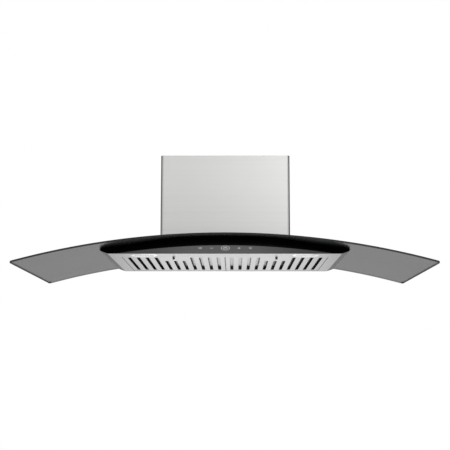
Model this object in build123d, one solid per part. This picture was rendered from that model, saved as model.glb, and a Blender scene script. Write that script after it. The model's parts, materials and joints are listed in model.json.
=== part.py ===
"""Curved glass range hood, 90 cm wide, hung on a wall over a cooktop.

Lengths are in millimetres. X runs along the wall, Y points into the wall, Z points up.
The origin is the middle of the four wall bolts, in the plane of the wall.
"""

import os
from math import atan2, cos, degrees, hypot, radians, sin, sqrt

from build123d import *

# ---------------------------------------------------------------- general fits
gap = 0.3              # room between pieces that lie against each other
slip = 0.5             # room round a piece that is lifted in and out
running = 0.05         # radial room of a shaft or pin in its bore
clamped = 0.02         # radial room of a shaft in a hub that is clamped on it
hole_room = 0.1        # radial room of a screw in its hole
past = 1.0             # how far a cut runs past the face that it opens
sheet = 1.0            # steel sheet of the body, filters and covers
box_sheet = 1.2        # steel sheet of the blower box

# ---------------------------------------------------------------- glass canopy
glass_width = 900.0
glass_depth = 490.0
glass_thickness = 4.0
glass_rise = 60.4          # height of the arch over its two ends
glass_front_corner = 6.0
glass_back_corner = 10.0
glass_hole_radius = 3.0
bolt_height = 105.0        # wall bolts above the underside of the arch's middle
notch_room = 2.5           # between the glass's notch and the upstand that comes through it
notch_corner = 6.0
seal_thickness = 1.0
seal_width = 10.0
seal_inset = 1.5           # from the body's edge to the seal
seal_room = 0.2            # between the strips and each of the two sheets

# ---------------------------------------------------------------- grease filters
slot_first = 15.1          # first slot from the middle of the hood
slot_pitch = 20.2
slot_count = 11
slot_width = 7.8
slot_corner = 1.5
slot_margin = 15.4         # from the outermost slot to the filter's outer edge
slot_back = 40.0           # from the wall to the back end of the slots
slot_front = 308.0         # from the wall to the front end of a long slot
short_slot_step = 68.0     # how much the slots behind the catch fall short
short_slots = (4, 5, 6)
filter_back = 20.0         # from the wall to the filters' back edge
filter_front_rim = 11.0    # filter's edge in front of the long slots
filter_room = 0.8          # between the filter's outer rim and the deck over it
baffle_overlap = 0.4       # a baffle's inner width over its slot, each side
baffle_sheet = 0.8
baffle_leg = 5.0
baffle_end = 4.0           # how far a baffle runs past its slot's front end
baffle_back_end = 6.0      # and past its back end
tongue_width = 20.0
tongue_reach = 8.0
tongue_sheet = 1.0
tongue_lift = 0.3          # tongue over the lip that it lies on
tongue_offsets = (-60.0, 60.0)
pivot_inset = 3.0          # from the filter's back edge to the lip it turns on
lip_room = 0.5             # from the turning line to the lip's edge
knob_radius = 2.8
knob_height = 5.0
knob_chamfer = 0.8
knob_stem_radius = 1.6
knob_setback = 7.0         # knob axis behind the filter's front edge
catch_width = 18.0
catch_length = 26.0
catch_sheet = 1.2
catch_bevel = 0.7
catch_travel = 6.0
guide_wall = 1.5
guide_hook = 2.5
guide_sheet = 1.0
guide_inset = 3.0          # guide behind the filter's front edge

# ---------------------------------------------------------------- lamps
lamp_spacing = 360.0
lens_radius = 21.5
lens_thickness = 2.0
lens_flat_radius = 12.0
lens_bulge = 1.0
bezel_barrel = 4.0         # bezel's barrel round the lens
bezel_flange = 4.0         # bezel's flange round its barrel
bezel_lip = 0.8
bezel_depth = 2.4
bezel_bevel = 1.5
lamp_room = 2.0            # bottom plate left in front of and behind each bezel
lamp_depth = 6.5
lamp_rib_pitch = 12.0
lamp_rib_gap = 4.0
lamp_rib_depth = 3.0

# ---------------------------------------------------------------- body under the glass
plate_border = 24.5        # bottom plate outside the filters
body_lean = 15.5           # how far each side leans outwards up to the glass
side_height = 6.6          # height of the sides from the bottom plate to the glass
upstand_height = 14.0
upstand_sheet = 1.2
upstand_corner = 3.0
rail_half_width = 9.0
rail_depth = 12.0
rail_room = 0.8            # between the rail and the deck

# ---------------------------------------------------------------- front fascia and control panel
fascia_plate = 2.0
fascia_bow = 27.0          # how far the fascia bulges over its flat plate
fascia_shoulder = 13.0     # flat plate left at each end of the bulge
bow_end_inset = 8.0        # how much the bulge's half width draws in with its front
facet_rise = 15.5          # height of the control panel's sloping face
panel_thickness = 3.0
panel_ledge = 2.0          # ledge that the panel lies on
panel_edge = 0.8           # panel's outline inside the fascia's
window_edge = 4.0          # window behind the panel inside the fascia's outline
board_length = 180.0
board_width = 12.0
board_thickness = 1.6
board_stand_off = 2.5
board_pad_pitch = 27.0
board_pad_size = 6.0
board_pads = 5
board_window_drop = 10.0   # window for the board under the middle of the arch
driver_length = 80.0
driver_width = 40.0
driver_height = 16.7
driver_corner = 3.0
driver_middle = 55.0       # driver's middle left of the hood's middle
driver_ear = 6.0
driver_setback = 7.0       # driver behind the body's front edge

# ---------------------------------------------------------------- blower
wheel_radius = 62.0
wheel_eye_radius = 50.0
wheel_half_width = 53.0
wheel_height = 90.0        # wheel axis over the middle of the arch
wheel_ring = 2.0
wheel_disc = 2.0
blade_count = 32
blade_sheet = 1.0
blade_bulge = 2.6
blade_sweep = 9.0          # degrees that a blade leads from root to tip
blade_bends = 3            # folds along a blade's curve
hub_radius = 13.0
hub_half_length = 12.0
shaft_radius = 4.0
shaft_end = 10.0           # shaft past the hub
shaft_stub = 5.0           # shaft past the motor
nut_radius = 7.5
nut_height = 6.0
scroll_wall = 2.0
scroll_side_room = 4.0     # between the wheel and each side of the scroll
scroll_room = 10.0         # between the wheel and the scroll where it is narrowest
scroll_step = 7.0          # growth of the scroll in each quarter turn
scroll_foot_reach = 20.0
scroll_foot_sheet = 3.0
scroll_foot_half = 7.0
scroll_screw_half = 25.0   # half the distance between the screws of one foot
scroll_front_room = 10.3   # between the scroll and the box's front
throat_start = 16.0        # inner edge of the outlet behind the wheel axis
throat_neck = 11.2         # straight outlet over the scroll
inlet_room = 1.0           # inlet's radius over the wheel's eye
inlet_lip = 5.0            # depth of the bell mouth
inlet_flare = 6.0          # bell mouth's radius over its throat
motor_radius = 35.0
motor_length = 54.0
motor_chamfer = 3.0
motor_boss_radius = 11.0
motor_boss = 3.0
motor_slots = 8
motor_slot_width = 5.0
motor_slot_depth = 1.5
motor_inner_end = 16.0     # end of the motor from the middle of the wheel
spider_hub = 14.0
spider_rim = 29.0
spider_arm_root = 20.0
spider_foot_inset = 5.0    # spider's feet inside the scroll's first radius
arm_width = 12.0
arm_sheet = 3.0
arm_count = 3
capacitor_radius = 13.0
capacitor_length = 52.0
capacitor_level = 60.0     # its foot over the middle of the arch
capacitor_front_room = 6.0
capacitor_chamfer = 1.0
tag_width = 6.0
tag_sheet = 1.0
tag_height = 7.0
tag_spacing = 10.0
clip_rise = 18.0           # clip over the capacitor's foot
clip_width = 14.0
clip_room = 0.15
clip_sheet = 1.0
clip_tab = 15.0

# ---------------------------------------------------------------- blower box
box_half_width = 128.7
box_depth = 249.0
box_lift = 5.0             # box's lower edge over the middle of the arch
box_bend = 3.0
wall_bolt_spacing_x = 200.0
wall_bolt_spacing_z = 100.0
wall_bolt_hole = 4.0

# ---------------------------------------------------------------- duct collar and flaps
collar_radius = 75.0
collar_wall = 2.0
collar_straight = 24.0
collar_skirt = 15.0        # thicker foot that the duct stops on
collar_stop = 2.0          # shoulder of the skirt
collar_flange = 2.0
collar_flange_edge = 8.0   # flange past its screws
collar_flange_corner = 6.0
collar_beam = 2.0          # beam between the two flaps
flap_sheet = 1.4
flap_ledge = 3.0
flap_ledge_height = 2.0
flap_room = 0.7
flap_edge = 8.3            # flap's straight edge from the collar's middle
flap_pin_radius = 1.5
flap_knuckle_radius = 3.0
flap_knuckle_half = 50.0
flap_ear = 2.6             # ear round each pin end
flap_ear_width = 3.0
flap_pin_offset = 4.2
flap_pin_lift = 1.2        # pin over the flap's middle plane

# ---------------------------------------------------------------- chimney covers
cover_side_room = 21.3     # between the blower box and the outside of the cover
cover_front_room = 18.0
cover_over_box = 42.8      # top of the cover over the box's lid
cover_bend = 5.0
cover_return = 12.0
flue_room = 1.0
flue_bottom = 18.0         # lower edge of the upper cover over the middle of the arch
flue_bend = 3.5
foot_width = 19.0
foot_length = 34.0
foot_at = (-60.0, -195.0)
foot_screw_room = 9.0      # foot's screw beside the blower box
bracket_height = 22.0
bracket_depth = 40.0
bracket_sheet = 1.5
bracket_hole = 3.0
bracket_hole_spacing = 200.0

# ---------------------------------------------------------------- small hardware
screw_head_radius = 4.5
screw_head_height = 2.4
screw_radius = 2.0
screw_end = 1.5            # glass screw past the deck
flue_screw_radius = 1.7
flue_screw_head = 4.0
flue_screw_head_height = 0.6
flue_screw_length = 6.0
washer_radius = 7.0
washer_height = 1.5        # washer over the highest glass under it

# ---------------------------------------------------------------- electrics on the box's lid
case_room = 1.0            # between the collar's flange and the case
case_inset = 0.7           # case inside the box's side
case_front = 215.0
case_back = 95.0
case_height = 24.0
case_wall = 2.0
case_corner = 4.0
case_lid_sheet = 2.0
case_lid_room = 0.3
wire_slot_length = 20.0
wire_slot_height = 8.0
wire_slot_level = 12.0
relay_board_room = 2.0
relay_board_lift = 5.0
relay_length = 14.0
relay_width = 16.0
relay_height = 10.4
relay_pitch = 20.0
relay_count = 3
gland_setback = 45.0       # gland from the wall
gland_radius = 9.0
gland_bore = 4.5
gland_wall = 1.4
gland_height = 16.0
gland_hex = 1.5            # hexagon's corner radius over the gland's
gland_hex_height = 5.0
gland_chamfer = 1.5
gland_nut_height = 3.5
gland_stub = 4.0

# ---------------------------------------------------------------- sizes that follow from these
arch_radius = ((glass_width / 2) ** 2 + glass_rise ** 2) / (2 * glass_rise)
apex = -bolt_height
arch_centre = apex - arch_radius
deck_radius = arch_radius - seal_thickness
filter_half_span = slot_first + slot_pitch * (slot_count - 1) + slot_margin
filter_front = slot_front + filter_front_rim
slot_short_front = slot_front - short_slot_step
lamp_hole_radius = lens_radius + bezel_barrel
bezel_radius = lamp_hole_radius + bezel_flange
lamp_strip = 2 * (bezel_radius + lamp_room)
body_depth = filter_front + lamp_strip
lamp_y = -filter_front - lamp_strip / 2
body_half_bottom = filter_half_span + plate_border
body_half_top = body_half_bottom + body_lean
side_top = arch_centre + sqrt(arch_radius ** 2 - body_half_top ** 2)
bottom = side_top - side_height
plate_top = bottom + sheet
deck_over_filter = arch_centre + sqrt((deck_radius - sheet) ** 2 - filter_half_span ** 2)
filter_top = deck_over_filter - filter_room
catch_x = slot_first + slot_pitch * (slot_count - 1) / 2
pivot_y = -filter_back + pivot_inset
pivot_z = plate_top + slip
fascia_bow_half = body_half_bottom - fascia_shoulder
fascia_back = -body_depth
fascia_flat = -body_depth - fascia_plate
facet_angle = degrees(atan2(facet_rise, fascia_bow))
scroll_half_width = wheel_half_width + scroll_side_room
scroll_first_radius = wheel_radius + scroll_room
scroll_second_radius = scroll_first_radius + scroll_step
scroll_third_radius = scroll_second_radius + scroll_step
inlet_radius = wheel_eye_radius + inlet_room
wheel_depth = box_depth - box_sheet - scroll_front_room - scroll_wall - scroll_step / 2 - scroll_first_radius
wheel_y = -wheel_depth
wheel_z = apex + wheel_height
box_height = wheel_height + scroll_first_radius + throat_neck
box_top = apex + box_height
lid_low = box_top - box_sheet
box_inner_half = box_half_width - box_sheet
opening_half = box_inner_half - gap - upstand_sheet
opening_front = -(box_depth - box_sheet - gap - upstand_sheet)
opening_back = -(box_sheet + gap + upstand_sheet)
throat_back = scroll_step / 2 + scroll_third_radius
throat_middle_y = wheel_y + (throat_start + throat_back) / 2
scroll_screw_x = scroll_half_width + scroll_wall + scroll_foot_reach
collar_neck = box_top + collar_skirt
collar_top = collar_neck + collar_straight
flap_level = collar_neck + flap_ledge_height + gap + flap_sheet / 2
flap_pin_z = flap_level + flap_pin_lift
cover_half_width = box_half_width + cover_side_room
cover_depth = box_depth + cover_front_room
cover_top = box_top + cover_over_box
cover_inner_half = cover_half_width - sheet
flue_half = cover_inner_half - flue_room
flue_front = cover_depth - sheet - flue_room
flue_back = sheet + flue_room
foot_screw_x = box_half_width + foot_screw_room
bracket_z = cover_top - bracket_height / 2
flange_half = scroll_screw_x + collar_flange_edge
case_right = -flange_half - case_room
case_left = case_inset - box_half_width
gland_x = (flange_half + box_inner_half) / 2
gland_y = -gland_setback


# ---------------------------------------------------------------- helpers
def arc_height(radius, x):
    """Height at x of an arc that shares the glass arch's axis."""
    return arch_centre + sqrt(radius ** 2 - x ** 2)


def block(x0, x1, y0, y1, z0, z1):
    """A plain block between two corners."""
    middle = Pos((x0 + x1) / 2, (y0 + y1) / 2, (z0 + z1) / 2)
    return middle * Box(abs(x1 - x0), abs(y1 - y0), abs(z1 - z0))


def post(radius, x, y, z0, z1):
    """An upright round bar."""
    return Pos(x, y, (z0 + z1) / 2) * Cylinder(radius, z1 - z0)


def bar_along_x(radius, x0, x1, y, z):
    """A round bar that lies along X."""
    return Pos((x0 + x1) / 2, y, z) * Rot(0, 90, 0) * Cylinder(radius, abs(x1 - x0))


def front_prism(face, y_front, y_back):
    """A face drawn from the front, in X and Z, drawn out between two depths."""
    return extrude(Plane.XZ.offset(-y_back) * face, amount=y_back - y_front)


def side_prism(face, x0, x1):
    """A face drawn from the side, in Y and Z, drawn out between two places along X."""
    return extrude(Plane.YZ.offset(x0) * face, amount=x1 - x0)


def plan_prism(face, z0, z1):
    """A face drawn from above, drawn out between two heights."""
    return extrude(Pos(0, 0, z0) * face, amount=z1 - z0)


def turned(points):
    """A ring or disc turned about Z from its section's corners, as radius and height."""
    return revolve(Plane.XZ * make_face(Polyline(*points, close=True)), Axis.Z)


def arch_band(half, r_low, r_high):
    """Front view of a curved sheet between two arcs."""
    high_end = arc_height(r_high, half)
    low_end = arc_height(r_low, half)
    high = ThreePointArc((-half, high_end), (0, arc_height(r_high, 0)), (half, high_end))
    low = ThreePointArc((half, low_end), (0, arc_height(r_low, 0)), (-half, low_end))
    return make_face([high, Line(high @ 1, low @ 0), low, Line(low @ 1, high @ 0)])


def under_arch(half_top, half_bottom, radius, z_low):
    """Front view of a body with an arched top and leaning sides."""
    end = arc_height(radius, half_top)
    top = ThreePointArc((-half_top, end), (0, arc_height(radius, 0)), (half_top, end))
    sides = Polyline(top @ 1, (half_bottom, z_low), (-half_bottom, z_low), top @ 0)
    return make_face([top, sides])


def below_glass(radius, y_front, y_back):
    """All that lies under an arc of the arch, down past the body."""
    band = arch_band(glass_width / 2 - past, radius - 2 * bolt_height, radius)
    return front_prism(band, y_front, y_back)


def screw(x, y, z_seat, length, radius=screw_radius):
    """A hexagon head screw that points down from its seat."""
    head = Pos(x, y, z_seat) * extrude(RegularPolygon(screw_head_radius, 6), amount=screw_head_height)
    return head + post(radius, x, y, z_seat - length, z_seat)


def mirrored(side, solid):
    """The solid itself on the right, or its mirror image on the left."""
    return solid if side > 0 else mirror(solid, about=Plane.YZ)


def mirrored_group(side, solids):
    """Separate solids of one node, on the right or mirrored to the left."""
    return Compound(children=[mirrored(side, solid) for solid in solids])


# ---------------------------------------------------------------- canopy
def glass_notch():
    """The notch in the glass's back edge that the blower box's upstand comes through."""
    room = upstand_sheet + notch_room
    face = Rectangle(2 * (opening_half + room), 2 * (room - opening_front))
    face = fillet(face.vertices(), notch_corner)
    return plan_prism(face, apex - bolt_height, apex + bolt_height)


def glass_canopy():
    """Arched pane with rounded corners, a notch at the wall and four screw holes."""
    band = arch_band(glass_width / 2, arch_radius, arch_radius + glass_thickness)
    glass = front_prism(band, -glass_depth, 0)
    corners = glass.edges().filter_by(Axis.Z).group_by(Axis.Y)
    glass = fillet(corners[0], glass_front_corner)
    corners = glass.edges().filter_by(Axis.Z).group_by(Axis.Y)
    glass = fillet(corners[-1], glass_back_corner)
    glass -= glass_notch()
    for x, y in glass_screw_places():
        glass -= post(glass_hole_radius, x, y, apex - bolt_height, apex + bolt_height)
    return glass


def glass_screw_places():
    """Where the canopy is screwed down, under the chimney cover's feet."""
    return [(side * foot_screw_x, y) for side in (-1, 1) for y in foot_at]


def glass_seal():
    """Soft strips between the body's deck and the glass."""
    outer = body_half_top - seal_inset
    front = -body_depth + seal_inset
    band = arch_band(outer, deck_radius + seal_room, arch_radius - seal_room)
    strip = front_prism(band, front, -seal_inset)
    inner = outer - seal_width
    return strip - block(-inner, inner, front + seal_width, past, bottom, apex + past)


def washer_seat(x):
    """Top of a washer that stands on the glass at x."""
    return arc_height(arch_radius + glass_thickness, abs(x) - washer_radius) + washer_height


def glass_washers():
    """Rubber washers over the glass, cut to its slope."""
    glass = below_glass(arch_radius + glass_thickness + hole_room, -glass_depth, 0)
    group = []
    for x, y in glass_screw_places():
        seat = washer_seat(x)
        washer = post(washer_radius, x, y, seat - glass_thickness - washer_height, seat) - glass
        hole = post(screw_radius + hole_room, x, y, apex - bolt_height, apex + bolt_height)
        group.append(washer - hole)
    return Compound(children=group)


def glass_screws():
    """Screws through the cover's feet, the washers and the glass into the deck."""
    group = []
    for x, y in glass_screw_places():
        seat = washer_seat(x) + sheet
        deck_low = arc_height(deck_radius - sheet, abs(x))
        group.append(screw(x, y, seat, seat - deck_low + screw_end))
    return Compound(children=group)


# ---------------------------------------------------------------- body
def body_shell():
    """Deck under the glass with leaning sides, front and back walls and the opening's upstand."""
    lean = body_lean / (arc_height(deck_radius, body_half_top) - bottom)
    half_low = body_half_bottom + lean * sheet
    side_wall = sheet * hypot(1, lean)
    outer = under_arch(body_half_top, half_low, deck_radius, plate_top)
    inner = under_arch(body_half_top - side_wall - lean * sheet, half_low - side_wall,
                       deck_radius - sheet, plate_top)
    shell = front_prism(outer, -body_depth, 0)
    shell -= front_prism(inner, -body_depth + sheet, -sheet)
    collar = block(-opening_half - upstand_sheet, opening_half + upstand_sheet,
                   opening_front - upstand_sheet, opening_back + upstand_sheet,
                   bottom, apex + upstand_height)
    collar = fillet(collar.edges().filter_by(Axis.Z), upstand_corner)
    collar -= below_glass(deck_radius - sheet, -body_depth, 0)
    shell += collar
    shell -= block(-opening_half, opening_half, opening_front, opening_back,
                   plate_top, apex + upstand_height + past)
    shell -= block(-board_length / 2, board_length / 2, -body_depth - past, -body_depth + sheet + past,
                   bottom + facet_rise / 2, apex - board_window_drop)
    for x, y in glass_screw_places():
        shell -= post(screw_radius + hole_room, x, y, plate_top, apex + past)
    return shell


def bottom_plate():
    """Flat bottom sheet with the filter opening and two lamp holes."""
    plate = block(-body_half_bottom, body_half_bottom, -body_depth, 0, bottom, plate_top)
    half = filter_half_span + slip
    plate -= block(-half, half, -filter_front - slip, pivot_y + lip_room, bottom - past, plate_top + past)
    for side in (-1, 1):
        plate -= post(lamp_hole_radius, side * lamp_spacing / 2, lamp_y, bottom - past, plate_top + past)
    return plate


def centre_rail():
    """Channel between the deck and the bottom plate's front strip."""
    back = -filter_front - slip
    top = arc_height(deck_radius - sheet, 0) - rail_room
    rail = block(-rail_half_width, rail_half_width, back - rail_depth, back, plate_top, top)
    inner = rail_half_width - sheet
    return rail - block(-inner, inner, back - rail_depth - past, back - sheet,
                        plate_top + sheet, top - sheet)


# ---------------------------------------------------------------- fascia and controls
def bow_face(inset):
    """Plan of the fascia's bulge: a flat back and a bowed front."""
    half = fascia_bow_half - inset * bow_end_inset
    bow = ThreePointArc((-half, fascia_flat), (0, fascia_flat - fascia_bow + inset), (half, fascia_flat))
    back = Polyline(bow @ 1, (half, fascia_back), (-half, fascia_back), bow @ 0)
    return make_face([bow, back])


def facet_slab(low, high):
    """A plate along the sloping face, between two depths measured into the fascia."""
    slab = Box(2 * body_half_top, 4 * fascia_bow, high - low)
    slab = Pos(0, 0, (low + high) / 2) * slab
    return Pos(0, fascia_flat, bottom) * Rot(-facet_angle, 0, 0) * slab


def front_fascia():
    """Black front moulding: a plate over the body's end, and a bowed pod round the controls."""
    top = deck_radius + seal_thickness - gap
    outline = under_arch(body_half_top, body_half_bottom, top, bottom)
    plate = front_prism(outline, fascia_flat, fascia_back)
    pod = plan_prism(bow_face(0), bottom, apex)
    pod &= front_prism(outline, fascia_flat - fascia_bow - past, fascia_back)
    pod -= facet_slab(-2 * fascia_bow, 0)
    hollow = plan_prism(bow_face(fascia_plate), bottom, apex)
    roof = under_arch(body_half_top, body_half_bottom, top - fascia_plate, bottom)
    hollow &= front_prism(roof, fascia_flat - fascia_bow, fascia_back)
    hollow -= facet_slab(-2 * fascia_bow, panel_thickness + panel_ledge)
    window = panel_solid(-past, panel_thickness + panel_ledge + past, window_edge)
    pocket = panel_solid(-past, panel_thickness + hole_room, panel_edge - 2 * hole_room)
    return plate + pod - hollow - window - pocket


def panel_solid(low, high, inset):
    """The control panel's lens shape, between two depths and drawn in by an inset."""
    lens = plan_prism(bow_face(inset), bottom - facet_rise / 2, apex)
    lens &= facet_slab(low, high)
    front_of_plate = block(-body_half_top, body_half_top, fascia_flat - 2 * fascia_bow,
                           fascia_flat - hole_room * 2, bottom - facet_rise, apex)
    return lens & front_of_plate


def control_panel():
    """Sloping lens-shaped touch panel."""
    lens = panel_solid(0, panel_thickness, panel_edge)
    return lens & block(-body_half_top, body_half_top, fascia_flat - 2 * fascia_bow, 0, bottom, apex)


def control_board():
    """Touch board behind the control panel, with one sensing pad under each mark."""
    low = panel_thickness + board_stand_off
    middle = fascia_bow / 2 / cos(radians(facet_angle))
    place = Pos(0, fascia_flat, bottom) * Rot(-facet_angle, 0, 0)
    board = place * Pos(0, -middle, low + board_thickness / 2) * Box(board_length, board_width,
                                                                     board_thickness)
    pad_height = board_stand_off - 2 * hole_room
    for i in range(board_pads):
        x = (i - (board_pads - 1) / 2) * board_pad_pitch
        pad = Pos(x, -middle, low - pad_height / 2)
        board += place * pad * Box(board_pad_size, board_pad_size, pad_height)
    return board


def lamp_driver():
    """Power supply for the lamps, between the front wall and the filters."""
    y0 = -body_depth + driver_setback
    z0 = plate_top + gap
    x0 = -driver_middle - driver_length / 2
    x1 = x0 + driver_length
    case = block(x0, x1, y0, y0 + driver_width, z0, z0 + driver_height)
    case = chamfer(case.edges().filter_by(Axis.Z), driver_corner)
    middle = y0 + driver_width / 2
    ear = block(x0 - driver_ear, x1 + driver_ear, middle - driver_ear, middle + driver_ear,
                z0, z0 + driver_corner)
    return case + ear


# ---------------------------------------------------------------- lamps
def lamp_place(side):
    """Middle of a lamp in the bottom plate's outer face."""
    return Pos(side * lamp_spacing / 2, lamp_y, bottom)


def lamp_bezel(side):
    """Round trim ring with a turned lip under the bottom plate."""
    barrel = lamp_hole_radius - gap
    inner = lens_radius + gap
    ring = turned([(inner, -bezel_lip), (bezel_radius - bezel_bevel, -bezel_lip), (bezel_radius, 0),
                   (barrel, 0), (barrel, bezel_depth), (inner, bezel_depth)])
    return lamp_place(side) * ring


def lamp_lens(side):
    """Milky lens that bulges slightly out of its ring."""
    lens = turned([(0, -bezel_lip - lens_bulge), (lens_flat_radius, -bezel_lip - lens_bulge),
                   (lens_radius, -bezel_lip), (lens_radius, lens_thickness), (0, lens_thickness)])
    return lamp_place(side) * lens


def lamp_housing(side):
    """Heat sink cup behind the lens, with cooling ribs."""
    low = bezel_depth + gap / 2
    rim = low + sheet
    top = low + lamp_depth
    cup = turned([(0, low), (lamp_hole_radius - gap, low), (lamp_hole_radius - gap, rim),
                  (lens_radius, rim), (lens_radius - lamp_rib_depth, top), (0, top)])
    for i in (-1, 0, 1):
        x = i * lamp_rib_pitch
        cup -= block(x - lamp_rib_gap / 2, x + lamp_rib_gap / 2, -bezel_radius, bezel_radius,
                     top - lamp_rib_depth, top + past)
    return lamp_place(side) * cup


# ---------------------------------------------------------------- grease filters
def slot_places():
    """Each slot's distance from the middle and its front end."""
    for i in range(slot_count):
        front = slot_short_front if i in short_slots else slot_front
        yield slot_first + slot_pitch * i, front


def filter_tray(side):
    """Slotted face sheet with turned-up rims, drawn for the right filter."""
    outer = filter_half_span
    tray = block(gap, outer, -filter_front, -filter_back, bottom, filter_top)
    tray -= block(gap + sheet, outer - sheet, -filter_front + sheet, -filter_back - sheet,
                  bottom + sheet, filter_top + past)
    for distance, front in slot_places():
        face = Rectangle(slot_width, front - slot_back)
        face = chamfer(face.vertices(), slot_corner)
        place = Pos(distance, -(front + slot_back) / 2, 0)
        tray -= plan_prism(place * face, bottom - past, bottom + sheet + past)
    stem_room = 2 * (knob_stem_radius + slip)
    face = SlotOverall(catch_travel + stem_room, stem_room, rotation=90)
    middle = -filter_front + knob_setback + catch_travel / 2
    tray -= plan_prism(Pos(catch_x, middle, 0) * face, bottom - past, bottom + sheet + past)
    low = catch_level() - gap
    tray -= block(catch_x - catch_width / 2 - gap, catch_x + catch_width / 2 + gap,
                  -filter_front - past, -filter_front + sheet + past, low, low + catch_sheet + 2 * gap)
    return mirrored(side, tray)


def filter_baffles(side):
    """Upper layer of upturned channels, one over each slot, tied by two end plates."""
    top = filter_top - gap
    half_in = slot_width / 2 + baffle_overlap
    half_out = half_in + baffle_sheet
    back = slot_back - baffle_back_end
    foot = top - baffle_sheet - baffle_leg
    roof = top - baffle_sheet
    layer = None
    for distance, front in slot_places():
        start = front + baffle_end
        channel = block(distance - half_out, distance + half_out, -start, -back, foot, top)
        channel -= block(distance - half_in, distance + half_in, -start - past, -back + past,
                         foot - past, roof)
        layer = channel if layer is None else layer + channel
    left = sheet + 2 * gap
    right = filter_half_span - sheet - gap
    base = bottom + sheet + gap
    long_end = -slot_front - baffle_end
    short_end = -slot_short_front - baffle_end
    pocket_half = slot_pitch * (len(short_slots) / 2) + half_out
    layer += block(left, right, -back, -back + baffle_sheet, base, top)
    layer += block(left, right, -back, -filter_back - sheet - gap, roof, top)
    layer += block(left, right, -filter_front + sheet + gap, long_end, roof, top)
    layer += block(catch_x - pocket_half, catch_x + pocket_half, long_end - past, short_end, roof, top)
    return mirrored(side, layer)


def filter_tongues(side):
    """Two tongues that lie on the bottom plate's back lip."""
    group = []
    z0 = plate_top + tongue_lift
    for offset in tongue_offsets:
        x0 = catch_x + offset - tongue_width / 2
        x1 = x0 + tongue_width
        tongue = block(x0, x1, -filter_back, pivot_y + tongue_reach, z0, z0 + tongue_sheet)
        tongue += block(x0, x1, -filter_back, -filter_back + tongue_sheet, z0, filter_top - slot_corner)
        group.append(tongue)
    return mirrored_group(side, group)


def catch_level():
    """Underside of the sliding catch, just over the face sheet."""
    return bottom + sheet + gap


def filter_guide(side):
    """Two folded rails on the face sheet that the catch slides between."""
    y0 = -filter_front + guide_inset
    y1 = y0 + catch_length + catch_travel - guide_inset
    roof = catch_level() + catch_sheet + gap
    group = []
    for way in (-1, 1):
        inner = catch_x + way * (catch_width / 2 + gap)
        outer = inner + way * guide_wall
        hook = inner - way * guide_hook
        rail = block(inner, outer, y0, y1, plate_top, roof + guide_sheet)
        rail += block(hook, outer, y0, y1, roof, roof + guide_sheet)
        group.append(rail)
    return mirrored_group(side, group)


def filter_catch(side):
    """Sliding plate with a bevelled nose at the filter's front edge."""
    low = catch_level()
    y0 = -filter_front
    plate = block(catch_x - catch_width / 2, catch_x + catch_width / 2, y0, y0 + catch_length,
                  low, low + catch_sheet)
    nose = plate.edges().filter_by(Axis.X).group_by(Axis.Y)[0].sort_by(Axis.Z)[-1]
    return mirrored(side, chamfer(nose, catch_bevel))


def filter_knob(side):
    """Small pull knob on a stem that hangs from the catch."""
    z_low = bottom - knob_height
    y = -filter_front + knob_setback
    knob = post(knob_radius, catch_x, y, z_low, bottom - gap)
    knob = chamfer(knob.edges().group_by(Axis.Z)[0], knob_chamfer)
    knob += post(knob_stem_radius, catch_x, y, bottom - gap, catch_level())
    return mirrored(side, knob)


# ---------------------------------------------------------------- blower box
def blower_box():
    """Folded front and sides of the steel box that carries the blower."""
    z0 = apex + box_lift
    wrap = block(-box_half_width, box_half_width, -box_depth, 0, z0, lid_low)
    wrap = fillet(wrap.edges().filter_by(Axis.Z).group_by(Axis.Y)[0], box_bend)
    return wrap - block(-box_inner_half, box_inner_half, -box_depth + box_sheet, past,
                        z0 - past, lid_low + past)


def wall_plate():
    """Back sheet of the box, drilled for the wall bolts."""
    plate = block(-box_inner_half, box_inner_half, -box_sheet, 0, apex + box_lift, lid_low)
    for side_x in (-1, 1):
        for side_z in (-1, 1):
            hole = Pos(side_x * wall_bolt_spacing_x / 2, 0, side_z * wall_bolt_spacing_z / 2)
            plate -= hole * Rot(90, 0, 0) * Cylinder(wall_bolt_hole, 4 * box_sheet)
    return plate


def blower_lid():
    """Top sheet of the box, with the blower's outlet and the gland's hole."""
    lid = block(-box_half_width, box_half_width, -box_depth, 0, lid_low, box_top)
    lid = chamfer(lid.edges().filter_by(Axis.Z).group_by(Axis.Y)[0], box_bend / 2)
    lid -= throat_cut(lid_low - past, box_top + past)
    lid -= post(gland_bore + gland_wall + hole_room, gland_x, gland_y, lid_low - past, box_top + past)
    for x, y in scroll_screw_places():
        lid -= post(screw_radius + hole_room, x, y, lid_low - past, box_top + past)
    return lid


def throat_cut(z0, z1):
    """The blower's outlet as a hole in the sheets over it."""
    return block(-scroll_half_width, scroll_half_width, wheel_y + throat_start, wheel_y + throat_back,
                 z0, z1)


def scroll_screw_places():
    """Screws that clamp the collar's flange, the lid and the scroll's feet together."""
    return [(side * scroll_screw_x, throat_middle_y + along)
            for side in (-1, 1) for along in (-scroll_screw_half, scroll_screw_half)]


def scroll_outline(grow):
    """Side view of the scroll: three quarter arcs that widen, and a straight throat."""
    r1 = scroll_first_radius + grow
    r2 = scroll_second_radius + grow
    r3 = scroll_third_radius + grow
    half = scroll_step / 2
    front_y = wheel_y - half
    back_y = wheel_y + half
    low_z = wheel_z - half
    high_z = wheel_z + half
    first = CenterArc((front_y, low_z), r1, 90, 90)
    second = CenterArc((back_y, low_z), r2, 180, 90)
    third = CenterArc((back_y, high_z), r3, 270, 90)
    tongue_y = wheel_y + throat_start - grow
    throat = Polyline(third @ 1, (back_y + r3, lid_low), (tongue_y, lid_low),
                      (tongue_y, low_z + r1), first @ 0)
    return make_face([first, second, third, throat])


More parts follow.
